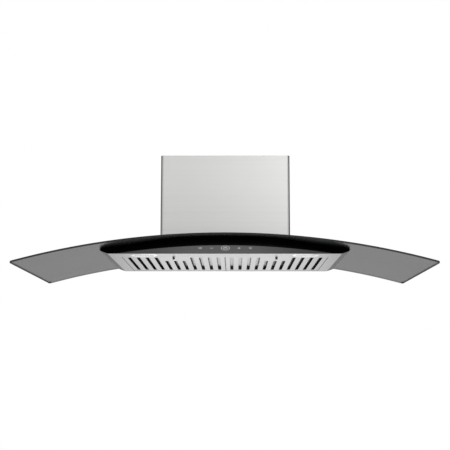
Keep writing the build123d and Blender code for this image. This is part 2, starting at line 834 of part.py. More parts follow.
def scroll_half(side):
    """One moulded half of the scroll, with its bell mouth, split at the wheel's middle."""
    outer_half = scroll_half_width + scroll_wall
    shell = side_prism(scroll_outline(scroll_wall), 0, outer_half)
    shell -= side_prism(scroll_outline(0), -past, scroll_half_width)
    shell -= bar_along_x(inlet_radius + inlet_flare, scroll_half_width - past, outer_half + past,
                         wheel_y, wheel_z)
    shell += Pos(0, wheel_y, wheel_z) * Rot(0, 90, 0) * bell_mouth()
    for x, y in scroll_screw_places():
        if x > 0:
            foot = block(outer_half, x + scroll_foot_half, y - scroll_foot_half, y + scroll_foot_half,
                         lid_low - scroll_foot_sheet, lid_low)
            shell += foot - post(screw_radius, x, y, lid_low - 2 * scroll_foot_sheet, lid_low + past)
    return mirrored(side, shell)


def bell_mouth():
    """Ring that leads the air into the wheel's eye, folded inwards in two steps."""
    outer = scroll_half_width + scroll_wall
    rim = inlet_radius + inlet_flare + past
    end = outer - inlet_lip
    knee = inlet_radius + inlet_flare / 3
    return turned([(rim, outer), (knee, outer - inlet_lip / 3), (inlet_radius, end),
                   (inlet_radius + scroll_wall * 0.6, end), (knee + scroll_wall / 2, outer - scroll_wall),
                   (rim, outer - scroll_wall)])


def scroll_screws():
    """Screws through the collar's flange and the lid into the scroll's feet."""
    length = collar_flange + box_sheet + scroll_foot_sheet - hole_room
    group = [screw(x, y, box_top + collar_flange, length, screw_radius - running)
             for x, y in scroll_screw_places()]
    return Compound(children=group)


# ---------------------------------------------------------------- blower
def blade_outline():
    """Section of one forward-curved blade, in the wheel's plane."""
    tip_radius = wheel_radius - blade_sheet
    spine = []
    for i in range(blade_bends + 1):
        t = i / blade_bends
        radius = wheel_eye_radius + (tip_radius - wheel_eye_radius) * t
        turn = radians(blade_sweep * t)
        bow = blade_bulge * 4 * t * (1 - t)
        spine.append((radius * cos(turn), radius * sin(turn) - bow))
    back = [(x, y + blade_sheet) for x, y in reversed(spine)]
    return make_face(Polyline(*spine, *back, close=True))


def at_wheel(shape):
    """Shape round the Z axis, turned and moved on to the wheel's axis."""
    return Pos(0, wheel_y, wheel_z) * Rot(0, 90, 0) * shape


def blade_ring():
    """All blades round the Z axis, from one end ring to the other."""
    reach = wheel_half_width - wheel_ring
    blade = Pos(0, 0, -reach) * extrude(blade_outline(), amount=2 * reach)
    return [Rot(0, 0, 360.0 / blade_count * i) * blade for i in range(blade_count)]


def fan_wheel():
    """Middle disc of the double-inlet wheel with its hub and a slot for each blade."""
    disc = Pos(0, 0, -wheel_disc / 2) * extrude(Circle(wheel_radius), amount=wheel_disc)
    disc += Pos(0, 0, -hub_half_length) * extrude(Circle(hub_radius), amount=2 * hub_half_length)
    disc -= Cylinder(shaft_radius + clamped, 4 * hub_half_length)
    for blade in blade_ring():
        disc -= blade
    return at_wheel(disc)


def wheel_blades():
    """Forward-curved blades that pass through the disc and end on the rings."""
    return Compound(children=[at_wheel(blade) for blade in blade_ring()])


def wheel_rings():
    """Ring at each open end of the wheel, to which the blades are fixed."""
    ring = extrude(Circle(wheel_radius) - Circle(wheel_eye_radius), amount=wheel_ring)
    ends = (-wheel_half_width, wheel_half_width - wheel_ring)
    return Compound(children=[at_wheel(Pos(0, 0, z) * ring) for z in ends])


def motor_shaft():
    """Shaft through the motor and the wheel's hub."""
    return bar_along_x(shaft_radius, motor_outer_face() - shaft_stub, hub_half_length + shaft_end,
                       wheel_y, wheel_z)


def wheel_nut():
    """Nut that clamps the wheel on the shaft."""
    nut = extrude(RegularPolygon(nut_radius, 6), amount=nut_height)
    nut -= Cylinder(shaft_radius + clamped, 4 * nut_height)
    return Pos(hub_half_length + hole_room, wheel_y, wheel_z) * Rot(0, 90, 0) * nut


def fan_motor():
    """Round motor in the left eye of the wheel, with cooling slots round its shell."""
    body = Cylinder(motor_radius, motor_length)
    body = chamfer(body.edges().filter_by(GeomType.CIRCLE), motor_chamfer)
    for i in range(motor_slots):
        slot = Pos(motor_radius, 0, 0) * Box(2 * motor_slot_depth, motor_slot_width, motor_length / 2)
        body -= Rot(0, 0, 360.0 / motor_slots * i) * slot
    for way in (-1, 1):
        body += Pos(0, 0, way * (motor_length + motor_boss) / 2) * Cylinder(motor_boss_radius, motor_boss)
    body -= Cylinder(shaft_radius + running, 2 * motor_length)
    x = -motor_inner_end - motor_length / 2
    return Pos(x, wheel_y, wheel_z) * Rot(0, 90, 0) * body


def motor_outer_face():
    """The motor's outer end plate along X."""
    return -motor_inner_end - motor_length


def motor_bracket():
    """Spider that hangs the motor on the scroll's left side."""
    x1 = motor_outer_face() - gap
    reach = scroll_first_radius - scroll_step / 2 - spider_foot_inset
    ring = Circle(spider_rim) - Circle(spider_hub)
    spider = Pos(0, 0, -arm_sheet) * extrude(ring, amount=arm_sheet)
    foot_length = -scroll_half_width - scroll_wall - gap - x1 + arm_sheet
    for i in range(arm_count):
        turn = Rot(0, 0, 90 + 360.0 / arm_count * i)
        arm = Pos((reach + spider_arm_root) / 2, 0, -arm_sheet / 2) * Box(reach - spider_arm_root,
                                                                          arm_width, arm_sheet)
        foot = Pos(reach - arm_sheet / 2, 0, foot_length / 2 - arm_sheet)
        spider += turn * (arm + foot * Box(arm_sheet, arm_width, foot_length))
    return Pos(x1, wheel_y, wheel_z) * Rot(0, 90, 0) * spider


def capacitor_place():
    """Plan position of the capacitor, against the box's left wall."""
    x = -box_inner_half + capacitor_radius + gap
    y = -box_depth + box_sheet + capacitor_radius + capacitor_front_room
    return x, y


def run_capacitor():
    """Motor capacitor with its two tags."""
    x, y = capacitor_place()
    z0 = apex + capacitor_level
    z1 = z0 + capacitor_length
    can = post(capacitor_radius, x, y, z0, z1)
    can = chamfer(can.edges().filter_by(GeomType.CIRCLE), capacitor_chamfer)
    for way in (-1, 1):
        middle = y + way * tag_spacing / 2
        can += block(x - tag_width / 2, x + tag_width / 2, middle - tag_sheet / 2,
                     middle + tag_sheet / 2, z1, z1 + tag_height)
    return can


def capacitor_clip():
    """Sheet clip round the capacitor, with a tab on the box's wall."""
    x, y = capacitor_place()
    z0 = apex + capacitor_level + clip_rise
    z1 = z0 + clip_width
    bore = capacitor_radius + clip_room
    wall = -box_inner_half + hole_room
    ring = post(bore + clip_sheet, x, y, z0, z1)
    ring -= block(-box_half_width - past, wall, y - 2 * bore, y + 2 * bore, z0 - past, z1 + past)
    ring += block(wall, wall + clip_sheet, y, y + bore + clip_tab, z0, z1)
    return ring - post(bore, x, y, z0 - past, z1 + past)


# ---------------------------------------------------------------- duct collar and flaps
def duct_collar():
    """Round collar on a screwed flange, with a shoulder for the duct and a ledge for the flaps."""
    y = throat_middle_y
    inner = collar_radius - collar_wall
    skirt = collar_radius + collar_stop
    collar = turned([(inner, box_top), (skirt, box_top), (skirt, collar_neck),
                     (collar_radius, collar_neck), (collar_radius, collar_top), (inner, collar_top),
                     (inner, collar_neck + flap_ledge_height),
                     (inner - flap_ledge, collar_neck + flap_ledge_height),
                     (inner - flap_ledge, collar_neck), (inner, collar_neck)])
    collar = Pos(0, y, 0) * collar
    half = flange_half
    flange = block(-half, half, y - skirt, y + skirt, box_top, box_top + collar_flange)
    flange = chamfer(flange.edges().filter_by(Axis.Z), collar_flange_corner)
    flange -= throat_cut(box_top - past, box_top + collar_flange + past)
    for x, screw_y in scroll_screw_places():
        flange -= post(screw_radius + hole_room, x, screw_y, box_top - past, box_top + collar_flange + past)
    ear_top = flap_pin_z + flap_ear
    beam = block(-inner - past, inner + past, y - collar_beam / 2, y + collar_beam / 2,
                 collar_neck, ear_top)
    collar += flange + beam
    ear_x = flap_knuckle_half + gap + flap_ear_width / 2
    for way in (-1, 1):
        for side in (-1, 1):
            x = side * ear_x
            ear = block(x - flap_ear_width / 2, x + flap_ear_width / 2, y,
                        y + way * (flap_pin_offset + flap_ear), collar_neck + hole_room, ear_top)
            collar += ear
        collar -= bar_along_x(flap_pin_radius, -inner + past, inner - past,
                              y + way * flap_pin_offset, flap_pin_z)
    return collar


def duct_flap(way):
    """Half-round flap with a long knuckle on its straight edge."""
    y = throat_middle_y
    radius = collar_radius - collar_wall - flap_room
    pin_y = y + way * flap_pin_offset
    edge = y + way * flap_edge
    z0 = flap_level - flap_sheet / 2
    flap = post(radius, 0, y, z0, z0 + flap_sheet)
    flap -= block(-collar_radius, collar_radius, edge, edge - way * 2 * collar_radius, z0 - past,
                  z0 + flap_sheet + past)
    half = flap_knuckle_half
    flap += block(-half, half, pin_y, edge + way * past, z0, z0 + flap_sheet)
    flap += bar_along_x(flap_knuckle_radius, -half, half, pin_y, flap_pin_z)
    return flap - bar_along_x(flap_pin_radius + running, -half - past, half + past, pin_y, flap_pin_z)


def flap_pins():
    """Steel pins that the flaps turn on, held by the collar's ears."""
    reach = flap_knuckle_half + gap + flap_ear_width
    pins = [bar_along_x(flap_pin_radius, -reach, reach, throat_middle_y + way * flap_pin_offset,
                        flap_pin_z) for way in (-1, 1)]
    return Compound(children=pins)


# ---------------------------------------------------------------- chimney
def cover_plan(half, front, back, bend):
    """Plan of a folded cover: front, two sides and two edges turned in at the back."""
    middle = Pos(0, -(front + back) / 2)
    outer = middle * Rectangle(2 * half, front - back)
    outer = fillet(outer.vertices().group_by(Axis.Y)[0], bend)
    inner = middle * Rectangle(2 * (half - sheet), front - back - 2 * sheet)
    inner = fillet(inner.vertices().group_by(Axis.Y)[0], bend - sheet)
    gate = Pos(0, -back) * Rectangle(2 * (half - cover_return), 4 * sheet)
    return outer - inner - gate


def chimney_cover():
    """Lower chimney cover: stands on the glass and follows its curve, screwed down by its feet."""
    plan = cover_plan(cover_half_width, cover_depth, 0, cover_bend)
    cover = plan_prism(plan, side_top, cover_top)
    cover -= below_glass(arch_radius + glass_thickness + gap, -glass_depth, past)
    seat = washer_seat(foot_screw_x)
    outer = cover_inner_half + sheet / 2
    for side in (-1, 1):
        for y in foot_at:
            foot = block(outer - foot_width, outer, y - foot_length / 2, y + foot_length / 2,
                         seat, seat + sheet)
            foot -= post(screw_radius + hole_room, foot_screw_x, y, seat - past, seat + sheet + past)
            cover += mirrored(side, foot)
    return cover


def flue_cover():
    """Upper chimney cover, nested inside the lower one and drawn up to meet the ceiling."""
    plan = cover_plan(flue_half, flue_front, flue_back, flue_bend)
    cover = plan_prism(plan, apex + flue_bottom, cover_top)
    for side in (-1, 1):
        hole = Pos(side * flue_half, flue_screw_y(), bracket_z)
        cover -= hole * Rot(0, 90, 0) * Cylinder(flue_screw_radius + hole_room, 4 * sheet)
    return cover


def flue_screw_y():
    """Place of the screws that hold the upper cover to its bracket."""
    return -flue_back - bracket_depth / 2


def flue_bracket():
    """Wall bracket at the flue cover's top, drilled for two wall screws."""
    half = flue_half - cover_return - past
    z0 = cover_top - bracket_height
    bar = block(-half, half, -bracket_sheet, 0, z0, cover_top)
    arm_x = flue_half - sheet - gap
    behind = -flue_back - sheet - gap
    for side in (-1, 1):
        arm = block(arm_x - bracket_sheet, arm_x, -flue_back - bracket_depth, behind, z0, cover_top)
        arm += block(half - bracket_sheet, arm_x, behind - bracket_sheet, behind, z0, cover_top)
        arm += block(half - bracket_sheet, half, behind - bracket_sheet, 0, z0, cover_top)
        hole = Pos(arm_x, flue_screw_y(), bracket_z)
        arm -= hole * Rot(0, 90, 0) * Cylinder(flue_screw_radius + hole_room, 4 * bracket_sheet)
        bar += mirrored(side, arm)
        wall_hole = Pos(side * bracket_hole_spacing / 2, 0, bracket_z)
        bar -= wall_hole * Rot(90, 0, 0) * Cylinder(bracket_hole, 4 * bracket_sheet)
    return bar


def flue_screws():
    """Flat screws through the flue cover into its bracket."""
    seat = flue_half + clamped
    shank = bar_along_x(flue_screw_radius, seat - flue_screw_length, seat, flue_screw_y(), bracket_z)
    head = bar_along_x(flue_screw_head, seat, seat + flue_screw_head_height, flue_screw_y(), bracket_z)
    right = shank + head
    return Compound(children=[mirrored(side, right) for side in (-1, 1)])


# ---------------------------------------------------------------- electrics on the lid
def control_case():
    """Plastic case for the speed and lamp electronics, on the blower box's lid."""
    z0 = box_top
    case = block(case_left, case_right, -case_front, -case_back, z0, z0 + case_height)
    case = chamfer(case.edges().filter_by(Axis.Z), case_corner)
    case -= block(case_left + case_wall, case_right - case_wall, -case_front + case_wall,
                  -case_back - case_wall, z0 + case_wall, z0 + case_height + past)
    middle = -(case_front + case_back) / 2
    case -= block(case_left - past, case_left + case_wall + past, middle - wire_slot_length / 2,
                  middle + wire_slot_length / 2, z0 + wire_slot_level,
                  z0 + wire_slot_level + wire_slot_height)
    return case


def control_case_lid():
    """Lid of the case, with a plug that fits inside its walls."""
    z0 = box_top + case_height
    inset = case_wall + case_lid_room
    lid = block(case_left, case_right, -case_front, -case_back, z0, z0 + case_lid_sheet)
    lid = chamfer(lid.edges().filter_by(Axis.Z), case_corner)
    return lid + block(case_left + inset, case_right - inset, -case_front + inset, -case_back - inset,
                       z0 - case_lid_sheet, z0)


def relay_board():
    """Circuit board with its relays and terminal block, on two feet inside the case."""
    inset = case_wall + relay_board_room
    x0 = case_left + inset
    x1 = case_right - inset
    y0 = -case_front + inset
    y1 = -case_back - inset
    z0 = box_top + relay_board_lift
    z1 = z0 + board_thickness
    board = block(x0, x1, y0, y1, z0, z1)
    for i in range(relay_count):
        y = y0 + relay_board_lift + i * relay_pitch
        board += block(x0 + inset, x0 + inset + relay_width, y, y + relay_length, z1, z1 + relay_height)
    board += block(x0 + inset, x1 - inset, y1 - 2 * relay_length, y1 - inset, z1, z1 + relay_height)
    middle = (x0 + x1) / 2
    for y in (y0 + inset, y1 - inset):
        board += block(middle - case_wall, middle + case_wall, y - case_wall, y + case_wall,
                       box_top + case_wall, z0)
    return board


def cable_gland():
    """Gland for the mains lead in the box's lid."""
    gland = post(gland_radius - gland_wall / 2, gland_x, gland_y, box_top, box_top + gland_height)
    gland = chamfer(gland.edges().group_by(Axis.Z)[-1], gland_chamfer)
    hexagon = RegularPolygon(gland_radius + gland_hex, 6)
    gland += Pos(gland_x, gland_y, box_top) * extrude(hexagon, amount=gland_hex_height)
    gland += post(gland_bore + gland_wall, gland_x, gland_y, lid_low - gland_stub, box_top)
    return gland - post(gland_bore, gland_x, gland_y, lid_low - 2 * gland_stub,
                        box_top + gland_height + past)


def gland_nut():
    """Nut under the lid that holds the gland."""
    nut = extrude(RegularPolygon(gland_radius, 6), amount=gland_nut_height)
    nut = Pos(gland_x, gland_y, lid_low - gland_nut_height) * nut
    return nut - post(gland_bore + gland_wall + running, gland_x, gland_y,
                      lid_low - 2 * gland_nut_height, lid_low + past)


# ---------------------------------------------------------------- all nodes
def all_parts():
    """Every sub-part by its node's name."""
    parts = {
        "glass_canopy": glass_canopy(),
        "glass_seal": glass_seal(),
        "glass_washers": glass_washers(),
        "glass_screws": glass_screws(),
        "body_shell": body_shell(),
        "bottom_plate": bottom_plate(),
        "centre_rail": centre_rail(),
        "front_fascia": front_fascia(),
        "control_panel": control_panel(),
        "control_board": control_board(),
        "lamp_driver": lamp_driver(),
        "blower_box": blower_box(),
        "blower_lid": blower_lid(),
        "wall_plate": wall_plate(),
        "scroll_screws": scroll_screws(),
        "fan_wheel": fan_wheel(),
        "wheel_blades": wheel_blades(),
        "wheel_rings": wheel_rings(),
        "motor_shaft": motor_shaft(),
        "wheel_nut": wheel_nut(),
        "fan_motor": fan_motor(),
        "motor_bracket": motor_bracket(),
        "run_capacitor": run_capacitor(),
        "capacitor_clip": capacitor_clip(),
        "duct_collar": duct_collar(),
        "duct_flap_front": duct_flap(-1),
        "duct_flap_rear": duct_flap(1),
        "flap_pins": flap_pins(),
        "chimney_cover": chimney_cover(),
        "flue_cover": flue_cover(),
        "flue_bracket": flue_bracket(),
        "flue_screws": flue_screws(),
        "control_case": control_case(),
        "control_case_lid": control_case_lid(),
        "relay_board": relay_board(),
        "cable_gland": cable_gland(),
        "gland_nut": gland_nut(),
    }
    for name, side in (("left", -1), ("right", 1)):
        parts["scroll_half_" + name] = scroll_half(side)
        parts["lamp_bezel_" + name] = lamp_bezel(side)
        parts["lamp_lens_" + name] = lamp_lens(side)
        parts["lamp_housing_" + name] = lamp_housing(side)
        parts["filter_tray_" + name] = filter_tray(side)
        parts["filter_baffles_" + name] = filter_baffles(side)
        parts["filter_tongues_" + name] = filter_tongues(side)
        parts["filter_guide_" + name] = filter_guide(side)
        parts["filter_catch_" + name] = filter_catch(side)
        parts["filter_knob_" + name] = filter_knob(side)
    return parts


os.makedirs("parts", exist_ok=True)
for node, solid in all_parts().items():
    export_step(solid, "parts/" + node + ".step")
    print(node, len(solid.solids()), round(sum(s.volume for s in solid.solids()), 1))
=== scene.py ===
"""Looks of the curved glass range hood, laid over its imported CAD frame. Lengths are in metres."""

import json
import math

import bmesh
import bpy
from bpy.props import FloatProperty, FloatVectorProperty, PointerProperty
from mathutils import Matrix, Vector

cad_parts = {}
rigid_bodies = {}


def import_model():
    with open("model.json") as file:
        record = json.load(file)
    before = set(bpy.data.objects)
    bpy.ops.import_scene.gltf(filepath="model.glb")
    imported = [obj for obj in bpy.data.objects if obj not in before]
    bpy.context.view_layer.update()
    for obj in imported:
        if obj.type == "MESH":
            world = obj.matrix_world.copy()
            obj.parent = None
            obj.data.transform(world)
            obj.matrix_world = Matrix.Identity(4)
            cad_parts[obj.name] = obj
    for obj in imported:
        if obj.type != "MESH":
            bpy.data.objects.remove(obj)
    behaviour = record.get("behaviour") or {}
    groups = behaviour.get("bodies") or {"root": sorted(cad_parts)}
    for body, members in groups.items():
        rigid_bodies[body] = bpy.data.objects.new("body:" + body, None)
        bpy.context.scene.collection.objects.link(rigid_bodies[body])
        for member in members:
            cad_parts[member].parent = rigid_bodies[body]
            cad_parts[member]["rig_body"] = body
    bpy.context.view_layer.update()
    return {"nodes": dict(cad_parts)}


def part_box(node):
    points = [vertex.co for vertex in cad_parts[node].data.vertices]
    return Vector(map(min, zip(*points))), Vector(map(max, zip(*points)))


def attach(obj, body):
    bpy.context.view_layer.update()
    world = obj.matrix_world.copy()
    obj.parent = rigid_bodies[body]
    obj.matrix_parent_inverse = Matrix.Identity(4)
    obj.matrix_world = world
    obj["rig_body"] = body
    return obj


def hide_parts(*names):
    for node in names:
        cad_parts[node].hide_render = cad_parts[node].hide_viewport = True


bl_info = {
    "name": "Curved glass range hood",
    "version": (1, 0, 0),
    "blender": (4, 5, 0),
    "location": "View3D > Sidebar > Hood",
    "description": "Models and finishes the visible pieces of a wall-mounted range hood",
    "category": "Object",
}

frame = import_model()
nodes = frame["nodes"]

PANEL_TAB = "Hood"
SIDES = ("left", "right")
BORDER_HALF = 0.2728      # black border of the glass, from the middle to its widest place
BORDER_WIDEST = 0.098     # and from the pane's front edge back to that place
BORDER_CURVE = 4.75       # how fast the border narrows in front of it, per metre
SMALL_EDGE = 0.0003       # rounding of small mouldings, rings, knobs and the touch panel
THICK_EDGE = 0.0004       # rounding of the lamp lenses and the control case
FOLDED_EDGE = 0.00025     # rounding of the blower's folded sheet
UPRIGHT = 0.5             # a face whose normal rises or falls less than this is a wall


def low(node):
    """Lowest corner of a CAD node."""
    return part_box(node)[0]


def high(node):
    """Highest corner of a CAD node."""
    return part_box(node)[1]


# ---------------------------------------------------------------- sizes and colours
class HoodSizes(bpy.types.PropertyGroup):
    """Sizes of the pieces that are modelled here."""

    glass_thickness: FloatProperty(
        name="Glass thickness", description="Thickness of the arched pane",
        default=0.004, unit="LENGTH")
    glass_rise: FloatProperty(
        name="Glass rise", description="Height of the pane's arch over its two ends",
        default=0.0604, unit="LENGTH")
    glass_edge: FloatProperty(
        name="Glass edge", description="Width of the ground bevel along the pane's edges",
        default=0.0004, unit="LENGTH")
    front_corner: FloatProperty(
        name="Front corner", description="Radius of the pane's two front corners",
        default=0.006, unit="LENGTH")
    back_corner: FloatProperty(
        name="Back corner", description="Radius of the pane's two back corners",
        default=0.010, unit="LENGTH")
    bow_depth: FloatProperty(
        name="Fascia bow", description="How far the fascia bulges forward",
        default=0.027, unit="LENGTH")
    bow_half: FloatProperty(
        name="Fascia bow half width", description="Half the width of the bulge",
        default=0.244, unit="LENGTH")
    facet_rise: FloatProperty(
        name="Control face rise", description="Height of the sloping control face",
        default=0.0155, unit="LENGTH")
    panel_thickness: FloatProperty(
        name="Control panel thickness", description="Thickness of the sloping touch panel",
        default=0.003, unit="LENGTH")
    panel_edge: FloatProperty(
        name="Control panel edge", description="Fascia left outside the touch panel",
        default=0.0008, unit="LENGTH")
    fascia_edge: FloatProperty(
        name="Fascia edge", description="Radius of the moulding's edges",
        default=0.0007, unit="LENGTH")
    inner_mark: FloatProperty(
        name="Inner marks", description="From the power mark to the marks beside it",
        default=0.0298, unit="LENGTH")
    outer_mark: FloatProperty(
        name="Outer marks", description="From the power mark to the two outer marks",
        default=0.0547, unit="LENGTH")
    sheet_edge: FloatProperty(
        name="Sheet edge", description="Radius along the edges of pressed sheet",
        default=0.0002, unit="LENGTH")


class HoodColours(bpy.types.PropertyGroup):
    """Colours of the finishes."""

    glass: FloatVectorProperty(
        name="Glass tint", description="Colour of the smoked glass",
        default=(0.055, 0.057, 0.060), size=3, subtype="COLOR", min=0, max=1)
    glass_density: FloatProperty(
        name="Glass density", description="How much each face of the glass holds back",
        default=0.59, min=0, max=1)
    print_black: FloatVectorProperty(
        name="Glass border", description="Colour of the border printed under the glass",
        default=(0.0006, 0.0006, 0.0007), size=3, subtype="COLOR", min=0, max=1)
    steel: FloatVectorProperty(
        name="Steel", description="Colour of the brushed steel",
        default=(0.60, 0.60, 0.595), size=3, subtype="COLOR", min=0, max=1)
    fascia: FloatVectorProperty(
        name="Fascia", description="Colour of the gloss black moulding",
        default=(0.0010, 0.0010, 0.0011), size=3, subtype="COLOR", min=0, max=1)
    panel: FloatVectorProperty(
        name="Control panel", description="Colour of the middle of the touch panel",
        default=(0.128, 0.129, 0.132), size=3, subtype="COLOR", min=0, max=1)
    marks: FloatVectorProperty(
        name="Marks", description="Colour of the marks on the touch panel",
        default=(0.60, 0.61, 0.62), size=3, subtype="COLOR", min=0, max=1)
    lens: FloatVectorProperty(
        name="Lamp lens", description="Colour of the milky lamp lenses",
        default=(0.72, 0.72, 0.71), size=3, subtype="COLOR", min=0, max=1)


# ---------------------------------------------------------------- shader maths
class Value:
    """A socket that takes part in sums as a number does."""

    def __init__(self, graph, socket):
        self.graph = graph
        self.socket = socket

    def _maths(self, operation, first, second):
        return self.graph.node("ShaderNodeMath", {"operation": operation}, {0: first, 1: second})

    def __add__(self, other):
        return self._maths("ADD", self, other)

    def __radd__(self, other):
        return self._maths("ADD", other, self)

    def __sub__(self, other):
        return self._maths("SUBTRACT", self, other)

    def __rsub__(self, other):
        return self._maths("SUBTRACT", other, self)

    def __mul__(self, other):
        return self._maths("MULTIPLY", self, other)

    def __rmul__(self, other):
        return self._maths("MULTIPLY", other, self)

    def __truediv__(self, other):
        return self._maths("DIVIDE", self, other)

    def __abs__(self):
        return self._maths("ABSOLUTE", self, 0.0)

    def larger(self, other):
        """The larger of two values."""
        return self._maths("MAXIMUM", self, other)

    def smaller(self, other):
        """The smaller of two values."""
        return self._maths("MINIMUM", self, other)

    def step(self, start, end):
        """Rises smoothly from 0 at start to 1 at end."""
        return self.graph.node(
            "ShaderNodeMapRange", {"interpolation_type": "SMOOTHSTEP"},
            {"Value": self, "From Min": start, "From Max": end, "To Min": 0.0, "To Max": 1.0})


class Graph:
    """The shader nodes of one material or of the world."""

    def __init__(self, owner, output):
        owner.use_nodes = True
        self.tree = owner.node_tree
        self.tree.nodes.clear()
        self.output = self.tree.nodes.new(output)

    def node(self, kind, settings=None, inputs=None, output=0):
        """Adds a node: first its settings, then the values or links of its sockets."""
        made = self.tree.nodes.new(kind)
        for name, setting in (settings or {}).items():
            setattr(made, name, setting)
        for name, value in (inputs or {}).items():
            if isinstance(value, Value):
                self.tree.links.new(value.socket, made.inputs[name])
            else:
                made.inputs[name].default_value = value
        return Value(self, made.outputs[output])

    def place(self):
        """X, Y and Z of the shaded point, in metres."""
        whole = self.node("ShaderNodeTexCoord", output="Object")
        parts = [self.node("ShaderNodeSeparateXYZ", None, {0: whole}, output=i) for i in range(3)]
        return whole, parts

    def noise(self, where, scale, detail=3.0, stretch=(1, 1, 1)):
        """Noise from 0 to 1, with its own scale along each axis."""
        mapped = self.node("ShaderNodeMapping", None, {"Vector": where, "Scale": stretch})
        return self.node("ShaderNodeTexNoise", None,
                         {"Vector": mapped, "Scale": scale, "Detail": detail})

    def shade(self, colour, level):
        """A colour multiplied by a level that varies over the surface."""
        grey = self.node("ShaderNodeCombineColor", None, {0: level, 1: level, 2: level})
        return self.node("ShaderNodeMix", {"data_type": "RGBA", "blend_type": "MULTIPLY"},
                         {0: 1.0, 6: tuple(colour) + (1,), 7: grey}, output=2)

    def blend(self, factor, first, second):
        """A colour between two colours."""
        return self.node("ShaderNodeMix", {"data_type": "RGBA"},
                         {0: factor, 6: tuple(first) + (1,), 7: tuple(second) + (1,)}, output=2)

    def bump(self, height, strength, distance):
        """Normals of a surface with small relief."""
        return self.node("ShaderNodeBump", None,
                         {"Strength": strength, "Distance": distance, "Height": height})

    def finish(self, shader):
        """Links the shader to the output."""
        self.tree.links.new(shader.socket, self.output.inputs["Surface"])


def new_material(name):
    """An empty material and its graph."""
    material = bpy.data.materials.new(name)
    return material, Graph(material, "ShaderNodeOutputMaterial")


# ---------------------------------------------------------------- finishes
def brushed_finish(name, colour, stretch, roughness=0.30, specks=0.05, slant=1.0, tone=None):
    """Steel with fine brush lines that run along the axis with the small stretch.

    The slant is how bright it stays when it is seen at a low angle, and the tone is a function
    of the place that darkens part of it with painted shade.
    """
    material, graph = new_material(name)
    whole, place = graph.place()
    fine = graph.noise(whole, 1.0, 4.0, stretch)
    broad = graph.noise(whole, 1.0, 2.0, [s * 0.12 for s in stretch])
    smudge = graph.noise(whole, 9.0, 2.0)
    level = 1.0 - specks / 2 + (fine - 0.5) * specks + (broad - 0.5) * specks
    # painted shade: the tone darkens the colour by the place
    if tone:
        level = level * tone(*place)
    surface = graph.node("ShaderNodeBsdfPrincipled", None, {
        "Base Color": graph.shade(colour, level),
        "Metallic": 1.0,
        "Roughness": roughness + (fine - 0.5) * 0.10 + (smudge - 0.5) * 0.06,
        "Specular Tint": (slant, slant, slant, 1.0),
        "Normal": graph.bump(fine, 0.25, 0.00002)})
    graph.finish(surface)
    return material


def zinc_finish(name, colour):
    """Zinc coated sheet with its faint crystal pattern."""
    material, graph = new_material(name)
    whole, _ = graph.place()
    crystals = graph.node("ShaderNodeTexVoronoi", None, {"Vector": whole, "Scale": 90.0}, output="Color")
    flake = graph.node("ShaderNodeSeparateColor", None, {0: crystals})
    grain = graph.noise(whole, 260.0, 3.0)
    surface = graph.node("ShaderNodeBsdfPrincipled", None, {
        "Base Color": graph.shade(colour, 0.90 + flake * 0.12 + (grain - 0.5) * 0.05),
        "Metallic": 1.0,
        "Roughness": 0.34 + flake * 0.14,
        "Normal": graph.bump(grain, 0.10, 0.00005)})
    graph.finish(surface)
    return material


def moulded_finish(name, colour, roughness, relief=0.10, grain_scale=900.0, shine=0.35):
    """Moulded plastic or rubber with a fine grain."""
    material, graph = new_material(name)
    whole, _ = graph.place()
    grain = graph.noise(whole, grain_scale, 3.0)
    cloud = graph.noise(whole, 14.0, 2.0)
    surface = graph.node("ShaderNodeBsdfPrincipled", None, {
        "Base Color": graph.shade(colour, 0.94 + (cloud - 0.5) * 0.14 + (grain - 0.5) * 0.06),
        "Roughness": roughness + (grain - 0.5) * 0.12,
        "Specular IOR Level": shine,
        "Normal": graph.bump(grain, relief, 0.00006)})
    graph.finish(surface)
    return material


def cast_finish(name, colour):
    """Cast aluminium with a sandy skin."""
    material, graph = new_material(name)
    whole, _ = graph.place()
    sand = graph.noise(whole, 420.0, 4.0)
    surface = graph.node("ShaderNodeBsdfPrincipled", None, {
        "Base Color": graph.shade(colour, 0.88 + sand * 0.16),
        "Metallic": 1.0,
        "Roughness": 0.42 + sand * 0.16,
        "Normal": graph.bump(sand, 0.30, 0.00008)})
    graph.finish(surface)
    return material


def polished_finish(name, colour, roughness):
    """Polished or bright zinc metal with faint wipe marks."""
    material, graph = new_material(name)
    whole, _ = graph.place()
    wipe = graph.noise(whole, 60.0, 3.0, (1, 1, 5))
    surface = graph.node("ShaderNodeBsdfPrincipled", None, {
        "Base Color": graph.shade(colour, 0.95 + (wipe - 0.5) * 0.08),
        "Metallic": 1.0,
        "Roughness": roughness + (wipe - 0.5) * 0.05})
    graph.finish(surface)
    return material


def board_finish(name):
    """Green circuit board with lighter tracks."""
    material, graph = new_material(name)
    whole, _ = graph.place()
    tracks = graph.node("ShaderNodeTexBrick", {"offset": 0.35},
                        {"Vector": whole, "Scale": 160.0, "Mortar Size": 0.035}, output="Fac")
    weave = graph.noise(whole, 700.0, 2.0)
    surface = graph.node("ShaderNodeBsdfPrincipled", None, {
        "Base Color": graph.blend(tracks, (0.012, 0.100, 0.045), (0.030, 0.190, 0.085)),
        "Roughness": 0.38 + (weave - 0.5) * 0.12,
        "Normal": graph.bump(tracks, 0.15, 0.00005)})
    graph.finish(surface)
    return material


